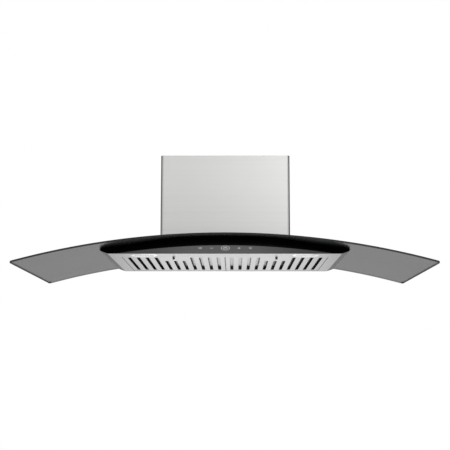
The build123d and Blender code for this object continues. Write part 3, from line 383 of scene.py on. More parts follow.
def lens_finish(name, colour):
    """Milky lens with a prismatic grain, faintly lit from behind, with a painted highlight that leaves it
    palest in its middle and greyer at its rim.
    """
    material, graph = new_material(name)
    whole, (x, y, _) = graph.place()
    lo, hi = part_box("lamp_lens_right")
    middle, radius = (lo + hi) / 2, (hi.x - lo.x) / 2
    across, along = abs(x) - middle.x, y - middle.y
    painted_highlight_spread = (across * across + along * along) / radius ** 2
    prism = graph.node("ShaderNodeTexVoronoi", None, {"Vector": whole, "Scale": 650.0}, output="Distance")
    surface = graph.node("ShaderNodeBsdfPrincipled", None, {
        # painted highlight: the base colour is paler in the middle and greyer towards the rim
        "Base Color": graph.shade(colour, 0.93 + prism * 0.10 - painted_highlight_spread * 0.26),
        "Roughness": 0.26 + prism * 0.10,
        "Specular IOR Level": 0.15,
        "Emission Color": graph.shade(colour, 0.94 + prism * 0.08),
        "Emission Strength": 0.06,
        "Normal": graph.bump(prism, 0.12, 0.00008)})
    graph.finish(surface)
    return material


def fascia_finish(name, colour):
    """Gloss black moulding with a faint orange peel."""
    material, graph = new_material(name)
    whole, _ = graph.place()
    peel = graph.noise(whole, 160.0, 2.0)
    surface = graph.node("ShaderNodeBsdfPrincipled", None, {
        "Base Color": graph.shade(colour, 0.85 + peel * 0.30),
        "Roughness": 0.16 + (peel - 0.5) * 0.05,
        "Specular IOR Level": 0.05,
        "Normal": graph.bump(peel, 0.04, 0.00005)})
    graph.finish(surface)
    return material


def panel_finish(name, colour):
    """Touch panel with painted light, palest in its middle, and painted shade that darkens it towards its
    two tips.
    """
    material, graph = new_material(name)
    whole, (x, _, _) = graph.place()
    painted_light_middle = -0.010                         # the painted light is palest a little left of the middle
    along = abs(x - painted_light_middle).step(0.040, 0.235)
    grain = graph.noise(whole, 500.0, 3.0)
    # painted shade: the colour darkens towards the two tips
    level = 1.0 - along * 0.62 + (grain - 0.5) * 0.05
    surface = graph.node("ShaderNodeBsdfPrincipled", None, {
        "Base Color": graph.shade(colour, level),
        "Roughness": 0.22 + (grain - 0.5) * 0.06,
        "Specular IOR Level": 0.08,
        "Normal": graph.bump(grain, 0.03, 0.00004)})
    graph.finish(surface)
    return material


def mark_finish(name, colour):
    """Screen printed marks with a slightly broken edge, and a faint painted glow."""
    material, graph = new_material(name)
    whole, _ = graph.place()
    speck = graph.noise(whole, 2600.0, 2.0)
    surface = graph.node("ShaderNodeBsdfPrincipled", None, {
        "Base Color": graph.shade(colour, 0.90 + speck * 0.20),
        "Roughness": 0.45 + (speck - 0.5) * 0.10,
        # painted glow: the print gives off a little light of its own
        "Emission Color": graph.shade(colour, 0.95 + (speck - 0.5) * 0.10),
        "Emission Strength": 0.25,
        "Specular IOR Level": 0.1})
    graph.finish(surface)
    return material


def glass_finish(name, tint, density, black, shine):
    """Smoked glass with the black border printed over the body, softer towards the front edge."""
    blur_out, blur_in = 0.0009, 0.0005      # soft edge of the print, outside and inside its line
    blur_growth = 0.08                      # how much softer it gets in front of the widest place
    front_ink = 0.60                        # how much the print covers at the very front
    fade_middle, fade_gain = 0.030, 0.050   # length over which it fills in, and more at the sides
    material, graph = new_material(name)
    whole, (x, y, _) = graph.place()
    side = abs(x)
    behind = y - low("glass_canopy").y
    # the border's side runs forward from the body and curves in towards the front edge
    ahead = (BORDER_WIDEST - behind).larger(0.0)
    past = side + ahead * ahead * BORDER_CURVE - BORDER_HALF
    blur = ahead * blur_growth
    inside = past.step(blur_out + blur, -blur_in - blur)
    fade_length = fade_middle + side.step(0.090, 0.210) * fade_gain
    fade = front_ink + (behind / fade_length).step(0.0, 1.0) * (1.0 - front_ink)
    border = inside * fade
    haze = graph.noise(whole, 5.0, 2.0)
    clear = density + (haze - 0.5) * 0.02
    surface = graph.node("ShaderNodeBsdfPrincipled", None, {
        "Base Color": graph.blend(border, tint, black),
        "Roughness": 0.06 + (haze - 0.5) * 0.02,
        "Specular IOR Level": shine,
        "Alpha": clear + border * (1.0 - clear)})
    graph.finish(surface)
    return material


def edge_finish(name):
    """The ground edge of the pane, where the glass is seen through its depth."""
    material, graph = new_material(name)
    whole, _ = graph.place()
    ground = graph.noise(whole, 300.0, 2.0)
    surface = graph.node("ShaderNodeBsdfPrincipled", None, {
        "Base Color": graph.shade((0.020, 0.021, 0.022), 0.9 + ground * 0.2),
        "Roughness": 0.30 + (ground - 0.5) * 0.08,
        "Specular IOR Level": 0.12,
        "Alpha": 0.97 + (ground - 0.5) * 0.02})
    graph.finish(surface)
    return material


# ---------------------------------------------------------------- modelling helpers
def settings():
    """The sizes and colours in use."""
    return bpy.context.scene.hood_sizes, bpy.context.scene.hood_colours


def fresh():
    """Leaves edit mode and deselects everything."""
    if bpy.context.object and bpy.context.object.mode != "OBJECT":
        bpy.ops.object.mode_set(mode="OBJECT")
    bpy.ops.object.select_all(action="DESELECT")


def make_active(piece):
    """Selects one piece and nothing else."""
    fresh()
    piece.select_set(True)
    bpy.context.view_layer.objects.active = piece


def settle(piece, name):
    """Names a new piece and puts its place into its mesh."""
    make_active(piece)
    bpy.ops.object.transform_apply(location=True, rotation=True, scale=True)
    piece.name = name
    piece.data.name = name
    return piece


def block(name, low_corner, high_corner):
    """A box between two corners."""
    fresh()
    lo, hi = Vector(low_corner), Vector(high_corner)
    bpy.ops.mesh.primitive_cube_add(size=1, location=(lo + hi) / 2, scale=hi - lo)
    return settle(bpy.context.object, name)


def select_faces(piece, test):
    """In edit mode, selects the faces whose middle and normal pass the test."""
    bpy.ops.mesh.select_mode(type="FACE")
    bpy.ops.mesh.select_all(action="DESELECT")
    mesh = bmesh.from_edit_mesh(piece.data)
    for face in mesh.faces:
        face.select_set(bool(test(face.calc_center_median(), face.normal)))
    bmesh.update_edit_mesh(piece.data)


def select_edges(piece, test):
    """In edit mode, selects the edges whose middle and direction pass the test."""
    bpy.ops.mesh.select_mode(type="EDGE")
    bpy.ops.mesh.select_all(action="DESELECT")
    mesh = bmesh.from_edit_mesh(piece.data)
    for edge in mesh.edges:
        a, b = (v.co for v in edge.verts)
        edge.select_set(bool(test((a + b) / 2, (b - a).normalized())))
    mesh.select_flush_mode()
    bmesh.update_edit_mesh(piece.data)


def swept(name, corners, centre, axis, half_angle, steps):
    """A closed ring segment: a rectangle in the plane x = 0, spun both ways about an axis."""
    (y0, z0), (y1, z1) = corners
    fresh()
    bpy.ops.mesh.primitive_plane_add(size=1, location=(0, (y0 + y1) / 2, (z0 + z1) / 2),
                                     rotation=(0, math.pi / 2, 0))
    piece = bpy.context.object
    piece.scale = (abs(z1 - z0), abs(y1 - y0), 1)
    settle(piece, name)
    bpy.ops.object.mode_set(mode="EDIT")
    bpy.ops.mesh.select_all(action="SELECT")
    turn = Matrix.Rotation(half_angle, 4, axis)
    about = Matrix.Translation(centre) @ turn @ Matrix.Translation(-Vector(centre))
    mesh = bmesh.from_edit_mesh(piece.data)
    mesh.transform(about)
    bmesh.update_edit_mesh(piece.data)
    bpy.ops.mesh.spin(steps=steps, angle=2 * half_angle, center=centre, axis=axis)
    bpy.ops.mesh.select_all(action="SELECT")
    bpy.ops.mesh.remove_doubles(threshold=1e-7)
    bpy.ops.mesh.normals_make_consistent(inside=False)
    bpy.ops.object.mode_set(mode="OBJECT")
    return piece


def trim(piece, point, normal):
    """Cuts off what lies on the normal's side of a plane, and closes the cut."""
    make_active(piece)
    bpy.ops.object.mode_set(mode="EDIT")
    bpy.ops.mesh.select_all(action="SELECT")
    bpy.ops.mesh.bisect(plane_co=point, plane_no=normal, use_fill=True,
                        clear_outer=True, clear_inner=False, threshold=1e-7)
    bpy.ops.object.mode_set(mode="OBJECT")


def combine(piece, tool, operation):
    """Cuts, joins or intersects a piece with a tool, and drops the tool."""
    make_active(piece)
    modifier = piece.modifiers.new("shape", "BOOLEAN")
    modifier.operation = operation
    modifier.solver = "EXACT"
    modifier.object = tool
    bpy.ops.object.modifier_apply(modifier=modifier.name)
    bpy.data.objects.remove(tool)


def soften(piece, width, segments=2, angle=30.0, smooth=35.0):
    """Rounds the sharp edges of a piece and shades it smooth between them."""
    make_active(piece)
    modifier = piece.modifiers.new("edges", "BEVEL")
    modifier.width = width
    modifier.segments = segments
    modifier.limit_method = "ANGLE"
    modifier.angle_limit = math.radians(angle)
    modifier.use_clamp_overlap = True
    bpy.ops.object.modifier_apply(modifier=modifier.name)
    bpy.ops.object.shade_smooth_by_angle(angle=math.radians(smooth))
    weigh = piece.modifiers.new("even", "WEIGHTED_NORMAL")
    weigh.keep_sharp = True
    bpy.ops.object.modifier_apply(modifier=weigh.name)
    fresh()


def merged_copy(node, name):
    """A copy of a CAD node whose loose triangles are merged into whole faces."""
    piece = bpy.data.objects.new(name, nodes[node].data.copy())
    bpy.context.scene.collection.objects.link(piece)
    make_active(piece)
    bpy.ops.object.mode_set(mode="EDIT")
    bpy.ops.mesh.select_all(action="SELECT")
    bpy.ops.mesh.remove_doubles(threshold=2e-6)
    bpy.ops.mesh.dissolve_limited(angle_limit=math.radians(0.6))
    bpy.ops.object.mode_set(mode="OBJECT")
    piece.data.materials.clear()
    return piece


def body_of_node(node):
    """The CAD body that carries a node."""
    return nodes[node]["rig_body"]


def dress(piece, node, material):
    """Makes a piece stand for a CAD node, with the node's body and finish."""
    piece.data.materials.clear()
    piece.data.materials.append(material)
    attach(piece, body_of_node(node))
    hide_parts(node)


def refine(node, material, width, segments=2, angle=30.0):
    """Replaces a CAD node by its own shape with rounded edges."""
    piece = merged_copy(node, f"{node}_finished")
    soften(piece, width, segments, angle)
    dress(piece, node, material)
    return piece


def paint(node, material):
    """Gives a CAD node that keeps its mesh its finish."""
    nodes[node].data.materials.clear()
    nodes[node].data.materials.append(material)


def shade_walls(piece, material, test=lambda at: True):
    """Gives a piece's upright faces that pass the test a second, darker copy of its finish, as painted
    shade.
    """
    piece.data.materials.append(material)
    for face in piece.data.polygons:
        if abs(face.normal.z) < UPRIGHT and test(face.center):
            face.material_index = 1


def both(name):
    """The names of a left and a right node."""
    return [f"{name}_{side}" for side in SIDES]


# ---------------------------------------------------------------- shapes
def arch_centre():
    """Height of the arch's axis, and the radius of the glass's underside."""
    sizes, _ = settings()
    lo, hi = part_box("glass_canopy")
    half = (hi.x - lo.x) / 2
    radius = (half ** 2 + sizes.glass_rise ** 2) / (2 * sizes.glass_rise)
    apex = hi.z - sizes.glass_thickness
    return apex - radius, radius


def arch_segment(name, radius_low, radius_high, y_front, y_back, half, steps):
    """A length of arched band over the hood, a little wider than a half width."""
    overrun = 1.02
    centre_z, _ = arch_centre()
    reach = math.asin(half / radius_low) * overrun
    corners = ((y_front, centre_z + radius_low), (y_back, centre_z + radius_high))
    return swept(name, corners, (0, 0, centre_z), (0, 1, 0), reach, steps)


def bow_block(name, inset, z_low, z_high):
    """The fascia's bulge seen from above, drawn up between two heights."""
    tip_share = 8       # the shallow tips draw back this many times as far as the middle
    overrun = 1.05
    sizes, _ = settings()
    flat = low("front_fascia").y + sizes.bow_depth
    half = sizes.bow_half - inset * tip_share
    depth = sizes.bow_depth - inset
    radius = (half ** 2 + depth ** 2) / (2 * depth)
    centre_y = flat - depth + radius
    reach = math.asin(half / radius) * overrun
    inner = radius - depth * 3      # well behind the flat front
    corners = ((centre_y - radius, z_low), (centre_y - inner, z_high))
    return swept(name, corners, (0, centre_y, 0), (0, 0, 1), reach, 64)


def facet_normal():
    """Direction that the sloping control face looks in."""
    sizes, _ = settings()
    return Vector((0, -sizes.facet_rise, -sizes.bow_depth)).normalized()


def facet_foot():
    """The line at which the control face meets the flat plate."""
    sizes, _ = settings()
    return Vector((0, low("front_fascia").y + sizes.bow_depth, low("front_fascia").z))


# ---------------------------------------------------------------- operators
class HOOD_OT_glass(bpy.types.Operator):
    """Models the arched pane with its notch, screw holes and ground edges."""

    bl_idname = "hood.glass"
    bl_label = "Glass canopy"

    def execute(self, context):
        sizes, colours = settings()
        lo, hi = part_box("glass_canopy")
        _, radius = arch_centre()
        pane = arch_segment("canopy_pane", radius, radius + sizes.glass_thickness, lo.y, hi.y, hi.x, 96)
        for side in (-1, 1):
            trim(pane, (side * hi.x, 0, 0), (side, 0, 0))
        self.round_corners(pane, lo.y, sizes.front_corner, 1)
        self.round_corners(pane, hi.y, sizes.back_corner, -1)
        self.cut_notch(pane)
        self.cut_screw_holes(pane)
        soften(pane, sizes.glass_edge, 2, 40.0, 30.0)
        self.finish(pane, colours)
        return {"FINISHED"}

    def round_corners(self, pane, y, radius, inward):
        """Rounds the two corners at the pane's front or back edge with a fan of flat cuts."""
        half = high("glass_canopy").x
        cuts = 8
        for side in (-1, 1):
            centre = Vector((side * (half - radius), y + inward * radius, 0))
            for i in range(cuts):
                turn = math.pi / 2 * (i + 0.5) / cuts
                way = Vector((side * math.cos(turn), -inward * math.sin(turn), 0))
                trim(pane, centre + way * radius, way)

    def cut_notch(self, pane):
        """Cuts the notch that the upstand comes through."""
        notch_half = 0.1297
        notch_front = -0.2499
        corner = 0.006
        below, behind, above = -0.3, 0.05, 0.1      # well past the pane
        cutter = block("notch_cutter", (-notch_half, notch_front, below),
                       (notch_half, behind, above))
        make_active(cutter)
        bpy.ops.object.mode_set(mode="EDIT")
        select_edges(cutter, lambda middle, way: abs(way.z) > 0.9 and middle.y < 0)
        bpy.ops.mesh.bevel(offset=corner, segments=6, affect="EDGES")
        bpy.ops.object.mode_set(mode="OBJECT")
        combine(pane, cutter, "DIFFERENCE")

    def cut_screw_holes(self, pane):
        """Cuts the four holes under the chimney cover's feet."""
        lo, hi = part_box("glass_screws")
        head = 0.0045
        hole = 0.003
        depth = 0.2             # well past the pane
        for x in (lo.x + head, hi.x - head):
            for y in (lo.y + head, hi.y - head):
                fresh()
                bpy.ops.mesh.primitive_cylinder_add(vertices=32, radius=hole, depth=depth,
                                                    location=(x, y, hi.z))
                combine(pane, settle(bpy.context.object, "hole_cutter"), "DIFFERENCE")

    def finish(self, pane, colours):
        """Gives the underside, the top and the ground edges their glass."""
        under = glass_finish("smoked_glass_under", colours.glass, colours.glass_density,
                             colours.print_black, 0.0)
        top = glass_finish("smoked_glass_top", colours.glass, colours.glass_density,
                           colours.print_black, 0.1)
        dress(pane, "glass_canopy", under)
        pane.data.materials.append(top)
        pane.data.materials.append(edge_finish("glass_edge"))
        for face in pane.data.polygons:
            if face.normal.y < -0.5 or abs(face.normal.x) > 0.6:
                face.material_index = 2
            elif face.normal.z > 0:
                face.material_index = 1


class HOOD_OT_fascia(bpy.types.Operator):
    """Models the bowed black moulding, its sloping touch panel and the panel's marks."""

    bl_idname = "hood.fascia"
    bl_label = "Front fascia and touch panel"

    def execute(self, context):
        sizes, colours = settings()
        lo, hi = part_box("front_fascia")
        flat = lo.y + sizes.bow_depth
        past = 0.01             # cutting shapes run this far past what they cut
        lap = 0.0015            # how far the bulge reaches into the moulding
        pocket_room = 0.0002    # round the touch panel
        proud = 0.001           # the pocket's cutter stands this far over the face
        fascia = self.outline("fascia_moulding", flat, hi.y)
        pod = bow_block("fascia_pod", 0.0, lo.z - past, hi.z + past)
        trim(pod, (0, flat + lap, 0), (0, 1, 0))
        trim(pod, facet_foot(), facet_normal())
        combine(pod, self.outline("pod_roof", lo.y - past, hi.y), "INTERSECT")
        combine(fascia, pod, "UNION")
        pocket = self.lens("pocket", sizes.panel_edge - pocket_room, sizes.panel_thickness, proud)
        combine(fascia, pocket, "DIFFERENCE")
        soften(fascia, sizes.fascia_edge, 3, 25.0, 30.0)
        dress(fascia, "front_fascia", fascia_finish("gloss_black", colours.fascia))
        panel = self.lens("touch_panel", sizes.panel_edge, sizes.panel_thickness)
        soften(panel, SMALL_EDGE, 2, 25.0, 30.0)
        dress(panel, "control_panel", panel_finish("panel_glass", colours.panel))
        self.marks(colours)
        return {"FINISHED"}

    def outline(self, name, y_front, y_back):
        """The hood's outline seen from the front: an arch on a flat bottom with leaning sides."""
        lo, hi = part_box("front_fascia")
        past = 0.02             # the band starts this far under the flat bottom
        centre_z, radius = arch_centre()
        top = hi.z - centre_z
        half_top = hi.x
        half_bottom = high("bottom_plate").x
        piece = arch_segment(name, top - (hi.z - lo.z) - past, top, y_front, y_back, half_top, 80)
        trim(piece, (0, 0, lo.z), (0, 0, -1))
        side_top = centre_z + math.sqrt(radius ** 2 - half_top ** 2)
        rise = side_top - lo.z
        for side in (-1, 1):
            trim(piece, (side * half_bottom, 0, lo.z), Vector((side * rise, 0, half_bottom - half_top)))
        return piece

    def lens(self, name, inset, depth, proud=0.0):
        """The lens-shaped plate in the sloping face, from a height over it down to a depth."""
        past = 0.03             # the block starts this far under the moulding
        flat_room = 0.0002      # in front of the moulding's flat part
        sizes, _ = settings()
        lo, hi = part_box("front_fascia")
        plate = bow_block(name, inset, lo.z - past, hi.z)
        normal = facet_normal()
        trim(plate, facet_foot() + normal * proud, normal)
        trim(plate, facet_foot() - normal * depth, -normal)
        trim(plate, (0, lo.y + sizes.bow_depth - flat_room, 0), (0, 1, 0))
        return plate

    def marks(self, colours):
        """Puts the five marks on the touch panel and joins them in one piece."""
        sizes, _ = settings()
        power = 0.0013                          # the row's middle is a little right of the panel's
        clock, less = power - sizes.outer_mark, power - sizes.inner_mark
        more, lamp = power + sizes.inner_mark, power + sizes.outer_mark
        sign, fine, hand = 0.0066, 0.0011, 0.0007   # length and line of plus and minus, clock's hand
        parts = [
            self.ring(power, 0, 0.0090, 0.00055),
            self.ring(power, -0.0004, 0.0040, 0.0007),
            self.bar(power, 0.0026, 0.0013, 0.0044),
            self.ring(clock, 0, 0.0032, 0.0004),
            self.bar(clock, 0.0011, hand, 0.0022),
            self.bar(clock + 0.0008, 0, 0.0018, hand),
            self.bar(less, 0, sign, fine),
            self.bar(more, 0, sign, fine),
            self.bar(more, 0, fine, sign),
            self.ring(lamp, 0.0008, 0.0026, 0.0004),
            self.bar(lamp, -0.0028, 0.0026, 0.0008)]
        fresh()
        for part in parts:
            part.select_set(True)
        bpy.context.view_layer.objects.active = parts[0]
        bpy.ops.object.join()
        marks = parts[0]
        marks.name = "touch_marks"
        marks.data.materials.clear()
        marks.data.materials.append(mark_finish("printed_marks", colours.marks))
        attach(marks, body_of_node("control_panel"))

    def on_facet(self, x, up):
        """A point on the control face: along it and up its slope from the row of marks."""
        row_share = 0.65        # the row of marks lies this far up the slope
        sizes, _ = settings()
        slope = Vector((0, -sizes.bow_depth, sizes.facet_rise))
        middle = facet_foot() + slope * row_share
        return middle + slope.normalized() * up + Vector((x, 0, 0))

    def facet_turn(self):
        """Rotation that lays a flat mark on the control face."""
        sizes, _ = settings()
        return (-math.atan2(sizes.facet_rise, sizes.bow_depth), 0, 0)

    def ring(self, x, up, radius, line):
        """A flat printed ring, drawn a little lower than wide."""
        height, thinness = 0.84, 0.2
        fresh()
        bpy.ops.mesh.primitive_torus_add(major_radius=radius, minor_radius=line, major_segments=48,
                                         minor_segments=8, location=self.on_facet(x, up),
                                         rotation=self.facet_turn())
        ring = bpy.context.object
        ring.scale = (1, height, thinness)
        return settle(ring, "mark_ring")

    def bar(self, x, up, width, height):
        """A flat printed bar with rounded corners."""
        thickness, corner = 0.00016, 0.00006
        fresh()
        bpy.ops.mesh.primitive_cube_add(size=1, location=self.on_facet(x, up),
                                        rotation=self.facet_turn(), scale=(width, height, thickness))
        bar = settle(bpy.context.object, "mark_bar")
        soften(bar, corner, 2)
        return bar


class HOOD_OT_underside(bpy.types.Operator):
    """Finishes the bottom plate, the body and the two grease filters."""

    bl_idname = "hood.underside"
    bl_label = "Underside and filters"

    def execute(self, context):
        sizes, colours = settings()
        edge = sizes.sheet_edge
        along_x = (3.0, 900.0, 900.0)
        along_y = (900.0, 3.0, 900.0)

        filter_low, filter_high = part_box("filter_tray_right")
        outer = filter_high.x
        sheet_top = filter_low.z + 0.0012       # just over the top of the face sheet
        meeting = 0.01                          # the filters' rims lie within this of the middle
        outer_seam, middle_seam = 0.0006, 0.0008
        seam_blur, end_blur = 0.001, 0.0008
        # painted shade: how much darker the ends, the gaps at the filters and the outer channels are
        # painted
        painted_end_shade, painted_seam_shade, channel_shade = 0.22, 0.75, 0.88

        def painted_filter_shade(x, y, z):
            """Painted shade: a little darker towards the two ends, and a painted shadow along the gaps
            between the filters and the plate.
            """
            side = abs(x)
            painted_seam_shadow = abs(side - outer).step(outer_seam + seam_blur, outer_seam)
            painted_seam_shadow = painted_seam_shadow.larger(side.step(middle_seam + seam_blur, middle_seam))
            painted_seam_shadow = painted_seam_shadow * z.step(sheet_top + 0.0015, sheet_top)
            painted_seam_shadow = painted_seam_shadow * y.step(filter_low.y - end_blur, filter_low.y)
            painted_seam_shadow = painted_seam_shadow * y.step(filter_high.y + end_blur, filter_high.y)
            return (1.0 - side.step(0.12, 0.26) * painted_end_shade) * (1.0 - painted_seam_shadow * painted_seam_shade)

        def depth_tone(x, y, z):
            """Darker for the outer channels, which the light reaches least."""
            return 1.0 - abs(x).step(0.055, 0.150) * channel_shade

        # the plate and the filter trays carry the painted shade of their ends and gaps
        plate = brushed_finish("plate_steel", colours.steel, along_x, 0.27, 0.05, 0.62, painted_filter_shade)
        tray = brushed_finish("filter_steel", colours.steel, along_x, 0.30, 0.05, 0.62, painted_filter_shade)
        roof = brushed_finish("baffle_steel", colours.steel, along_y, 0.36, 0.05, 0.55, depth_tone)
        painted_shade_share = 0.18                       # of the steel's colour, painted on walls in the shade
        painted_shade_grey = [c * painted_shade_share for c in colours.steel]
        wall = brushed_finish("painted_shade_wall_steel", painted_shade_grey, along_y, 0.5, 0.05, 0.1)
        # painted shade on the walls of the plate's openings
        shade_walls(refine("bottom_plate", plate, edge), wall)
        for name in both("filter_tray"):
            # painted shade on the slots' walls and on the rims where the two filters meet
            shade_walls(refine(name, tray, edge), wall,
                        lambda at: at.z < sheet_top or abs(at.x) < meeting)
        for name in both("filter_baffles"):
            channels = refine(name, tray, edge)
            # painted shade on the channels' upright legs
            shade_walls(channels, wall)
            channels.data.materials.append(roof)
            for face in channels.data.polygons:
                if face.normal.z < -UPRIGHT:
                    face.material_index = 2
        for group in ("filter_tongues", "filter_guide", "filter_catch"):
            for name in both(group):
                refine(name, tray, edge)
        knob = moulded_finish("knob_grey", (0.060, 0.060, 0.062), 0.42, shine=0.3)
        for name in both("filter_knob"):
            refine(name, knob, SMALL_EDGE, 3)
        coat = moulded_finish("coated_steel", (0.034, 0.034, 0.035), 0.45, 0.12, 700.0, 0.2)
        refine("body_shell", coat, edge)
        paint("centre_rail", coat)
        paint("glass_seal", moulded_finish("seal_rubber", (0.012, 0.012, 0.012), 0.7))
        paint("glass_washers", moulded_finish("washer_rubber", (0.014, 0.014, 0.014), 0.7))
        return {"FINISHED"}


class HOOD_OT_lamps(bpy.types.Operator):
    """Finishes the lamps with their rings, lenses and heat sinks."""

    bl_idname = "hood.lamps"
    bl_label = "Lamps"

    def execute(self, context):
        _, colours = settings()
        ring = polished_finish("ring_steel", (0.62, 0.62, 0.62), 0.16)
        lens = lens_finish("milky_lens", colours.lens)
        sink = cast_finish("cast_aluminium", (0.60, 0.61, 0.62))
        # a dark copy of the ring steel: painted shade on the rings' upright walls where they sit on the
        # plate
        wall = polished_finish("painted_shade_ring_steel", (0.10, 0.10, 0.10), 0.4)
        for name in both("lamp_bezel"):
            shade_walls(refine(name, ring, SMALL_EDGE, 3), wall)
        for name in both("lamp_lens"):
            refine(name, lens, THICK_EDGE, 3, 12.0)
        for name in both("lamp_housing"):
            paint(name, sink)
        paint("lamp_driver", moulded_finish("driver_white", (0.70, 0.70, 0.68), 0.5))
        return {"FINISHED"}


class HOOD_OT_chimney(bpy.types.Operator):
    """Finishes the two chimney covers, the wall bracket and their screws."""

    bl_idname = "hood.chimney"
    bl_label = "Chimney covers"

    def execute(self, context):
        sizes, colours = settings()
        level_lines = (3.0, 3.0, 850.0)
        half = high("chimney_cover").x
        front = low("chimney_cover").y
        painted_bend_shade, painted_foot_shade = 0.86, 0.11
        cover_share = 0.89                      # of the steel's colour, on the covers

        def painted_cover_shade(x, y, z):
            """Painted shade: darker at the bends of the two front corners as a painted dark reflection,
            and a little darker towards the bottom by the glass.
            """
            painted_bend_reflection = abs(x).step(half - 0.0075, half - 0.0012) * y.step(front + 0.0070, front + 0.0050)
            return (1.0 - painted_bend_reflection * painted_bend_shade) * (1.0 - z.step(0.08, -0.11) * painted_foot_shade)

        cover_steel = [c * cover_share for c in colours.steel]
        # the covers carry the painted reflection of the bends and the painted shade towards the bottom
        cover = brushed_finish("cover_steel", cover_steel, level_lines, 0.36, 0.07, 0.8, painted_cover_shade)
        refine("chimney_cover", cover, sizes.sheet_edge)
        refine("flue_cover", cover, sizes.sheet_edge)
        zinc = zinc_finish("bracket_zinc", (0.60, 0.62, 0.63))
        refine("flue_bracket", zinc, sizes.sheet_edge)
        bright = polished_finish("screw_zinc", (0.70, 0.70, 0.71), 0.22)
        for name in ("flue_screws", "glass_screws", "scroll_screws"):
            paint(name, bright)
        return {"FINISHED"}


class HOOD_OT_blower(bpy.types.Operator):
    """Finishes the blower box, the scroll, the wheel, the motor and the duct collar."""

    bl_idname = "hood.blower"
    bl_label = "Blower"

    def execute(self, context):
        zinc = zinc_finish("box_zinc", (0.58, 0.60, 0.61))
        for name in ("blower_box", "blower_lid", "wall_plate", "motor_bracket", "capacitor_clip"):
            refine(name, zinc, FOLDED_EDGE)
        for name in ("fan_wheel", "wheel_blades", "wheel_rings"):
            paint(name, zinc)
        black = moulded_finish("moulded_black", (0.022, 0.022, 0.024), 0.5, 0.18, 800.0)
        for name in [*both("scroll_half"), "duct_collar", "duct_flap_front", "duct_flap_rear"]:
            refine(name, black, SMALL_EDGE)
        steel = polished_finish("turned_steel", (0.66, 0.66, 0.67), 0.24)
        for name in ("motor_shaft", "wheel_nut", "flap_pins"):
            paint(name, steel)
        paint("fan_motor", cast_finish("motor_shell", (0.50, 0.51, 0.52)))
        paint("run_capacitor", moulded_finish("capacitor_white", (0.72, 0.72, 0.70), 0.45))
        return {"FINISHED"}


class HOOD_OT_electrics(bpy.types.Operator):
    """Finishes the control case, its boards and the cable gland."""

    bl_idname = "hood.electrics"
    bl_label = "Electrics"

    def execute(self, context):
        white = moulded_finish("case_white", (0.72, 0.72, 0.70), 0.5)
        for name in ("control_case", "control_case_lid"):
            refine(name, white, THICK_EDGE)
        board = board_finish("circuit_board")
        for name in ("relay_board", "control_board"):
            paint(name, board)
        black = moulded_finish("gland_black", (0.020, 0.020, 0.021), 0.5)
        for name in ("cable_gland", "gland_nut"):
            paint(name, black)
        return {"FINISHED"}


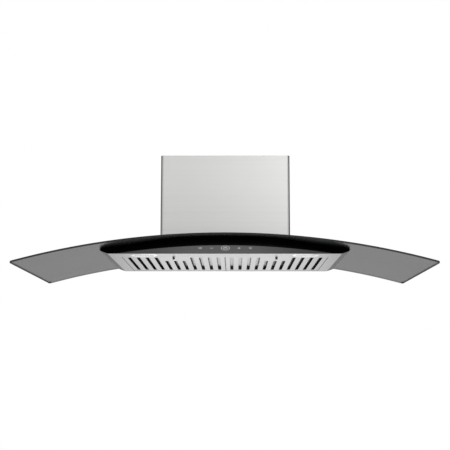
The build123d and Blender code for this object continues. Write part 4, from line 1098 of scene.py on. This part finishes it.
class HOOD_OT_stage(bpy.types.Operator):
    """Sets up the floor, the surroundings, the lights and the camera."""

    bl_idname = "hood.stage"
    bl_label = "Stage"

    def execute(self, context):
        self.make_floor()
        self.make_world()
        self.make_camera()
        self.make_light("key", (1.4, -2.8, 0.95), (0.0, -0.25, 0.0), 2.4, 27.0)
        self.make_light("fill", (-2.0, -2.6, 0.2), (0.0, -0.3, 0.0), 1.8, 16.0)
        self.make_light("under", (0.0, 0.9, -0.75), (0.0, -0.15, -0.13), 0.7, 2.0)
        context.scene.view_settings.view_transform = "Standard"
        return {"FINISHED"}

    def background_share(self, graph):
        """1 for the rays that should meet the plain white background."""
        path = [graph.node("ShaderNodeLightPath", output=name)
                for name in ("Is Camera Ray", "Is Glossy Ray", "Is Transmission Ray")]
        return (path[0] + path[1] + path[2]).smaller(1.0)

    def make_floor(self):
        """A pale floor that keeps the hood's soft shadow."""
        width, height, white = 8, -1.05, 0.93
        fresh()
        bpy.ops.mesh.primitive_plane_add(size=width, location=(0, 0, height))
        floor = settle(bpy.context.object, "floor")
        material, graph = new_material("pale_floor")
        whole, _ = graph.place()
        cloud = graph.noise(whole, 1.5, 2.0)
        lit = graph.node("ShaderNodeBsdfDiffuse", None,
                         {"Color": graph.shade((white, white, white), 0.99 + cloud * 0.02)})
        glow = graph.node("ShaderNodeEmission", None, {"Color": (1, 1, 1, 1), "Strength": 1.0})
        share = self.background_share(graph) * white
        floor_face = graph.node("ShaderNodeMixShader", None, {0: share, 1: lit, 2: glow})
        # seen from beneath, the floor lets the view of the hood's underside through
        beneath = graph.node("ShaderNodeNewGeometry", output="Backfacing")
        clear = graph.node("ShaderNodeBsdfTransparent")
        graph.finish(graph.node("ShaderNodeMixShader", None, {0: beneath, 1: floor_face, 2: clear}))
        floor.data.materials.append(material)

    def make_world(self):
        """A white background, with plain soft light on what it surrounds."""
        world = bpy.data.worlds.new("studio")
        bpy.context.scene.world = world
        graph = Graph(world, "ShaderNodeOutputWorld")
        ambient = 0.55
        strength = ambient + (1.0 - ambient) * self.background_share(graph)
        graph.finish(graph.node("ShaderNodeBackground", None,
                                {"Color": (1, 1, 1, 1), "Strength": strength}))

    def make_camera(self):
        """The photograph's camera: below the glass, looking slightly up."""
        pitch = math.radians(8.3127)
        yaw = math.radians(-0.4493)
        roll = math.radians(0.0636)
        place = (0.01828, -2.66504, -0.40332)
        data = bpy.data.cameras.new("camera")
        data.lens = 83.84
        data.sensor_width = 36.0
        camera = bpy.data.objects.new("camera", data)
        bpy.context.scene.collection.objects.link(camera)
        turn = (Matrix.Rotation(-yaw, 4, "Z") @ Matrix.Rotation(math.pi / 2 + pitch, 4, "X")
                @ Matrix.Rotation(roll, 4, "Z"))
        camera.matrix_world = Matrix.Translation(place) @ turn
        bpy.context.scene.camera = camera

    def make_light(self, name, place, target, size, power):
        """A square softbox that looks at a point."""
        data = bpy.data.lights.new(name, "AREA")
        data.size = size
        data.energy = power
        light = bpy.data.objects.new(name, data)
        bpy.context.scene.collection.objects.link(light)
        light.location = place
        way = Vector(target) - Vector(place)
        light.rotation_euler = way.to_track_quat("-Z", "Y").to_euler()


class HOOD_PT_panel(bpy.types.Panel):
    """Lists the hood's sizes, colours and steps."""

    bl_idname = "HOOD_PT_panel"
    bl_label = "Curved glass range hood"
    bl_space_type = "VIEW_3D"
    bl_region_type = "UI"
    bl_category = PANEL_TAB

    def draw(self, context):
        for group in (context.scene.hood_sizes, context.scene.hood_colours):
            column = self.layout.column(align=True)
            for name in group.bl_rna.properties.keys():
                if name not in ("rna_type", "name"):
                    column.prop(group, name)
        for step in STEPS:
            self.layout.operator(step.bl_idname)


STEPS = (HOOD_OT_stage, HOOD_OT_glass, HOOD_OT_fascia, HOOD_OT_underside, HOOD_OT_lamps,
         HOOD_OT_chimney, HOOD_OT_blower, HOOD_OT_electrics)
CLASSES = (HoodSizes, HoodColours, *STEPS, HOOD_PT_panel)


def register():
    """Registers the classes and hangs the sizes and colours on the scene."""
    for item in CLASSES:
        bpy.utils.register_class(item)
    bpy.types.Scene.hood_sizes = PointerProperty(type=HoodSizes)
    bpy.types.Scene.hood_colours = PointerProperty(type=HoodColours)


def unregister():
    """Takes the classes and properties away again."""
    del bpy.types.Scene.hood_colours
    del bpy.types.Scene.hood_sizes
    for item in reversed(CLASSES):
        bpy.utils.unregister_class(item)


def main():
    """Builds the whole hood."""
    register()
    bpy.ops.hood.stage()
    bpy.ops.hood.glass()
    bpy.ops.hood.fascia()
    bpy.ops.hood.underside()
    bpy.ops.hood.lamps()
    bpy.ops.hood.chimney()
    bpy.ops.hood.blower()
    bpy.ops.hood.electrics()
    fresh()


if __name__ == "__main__":
    main()
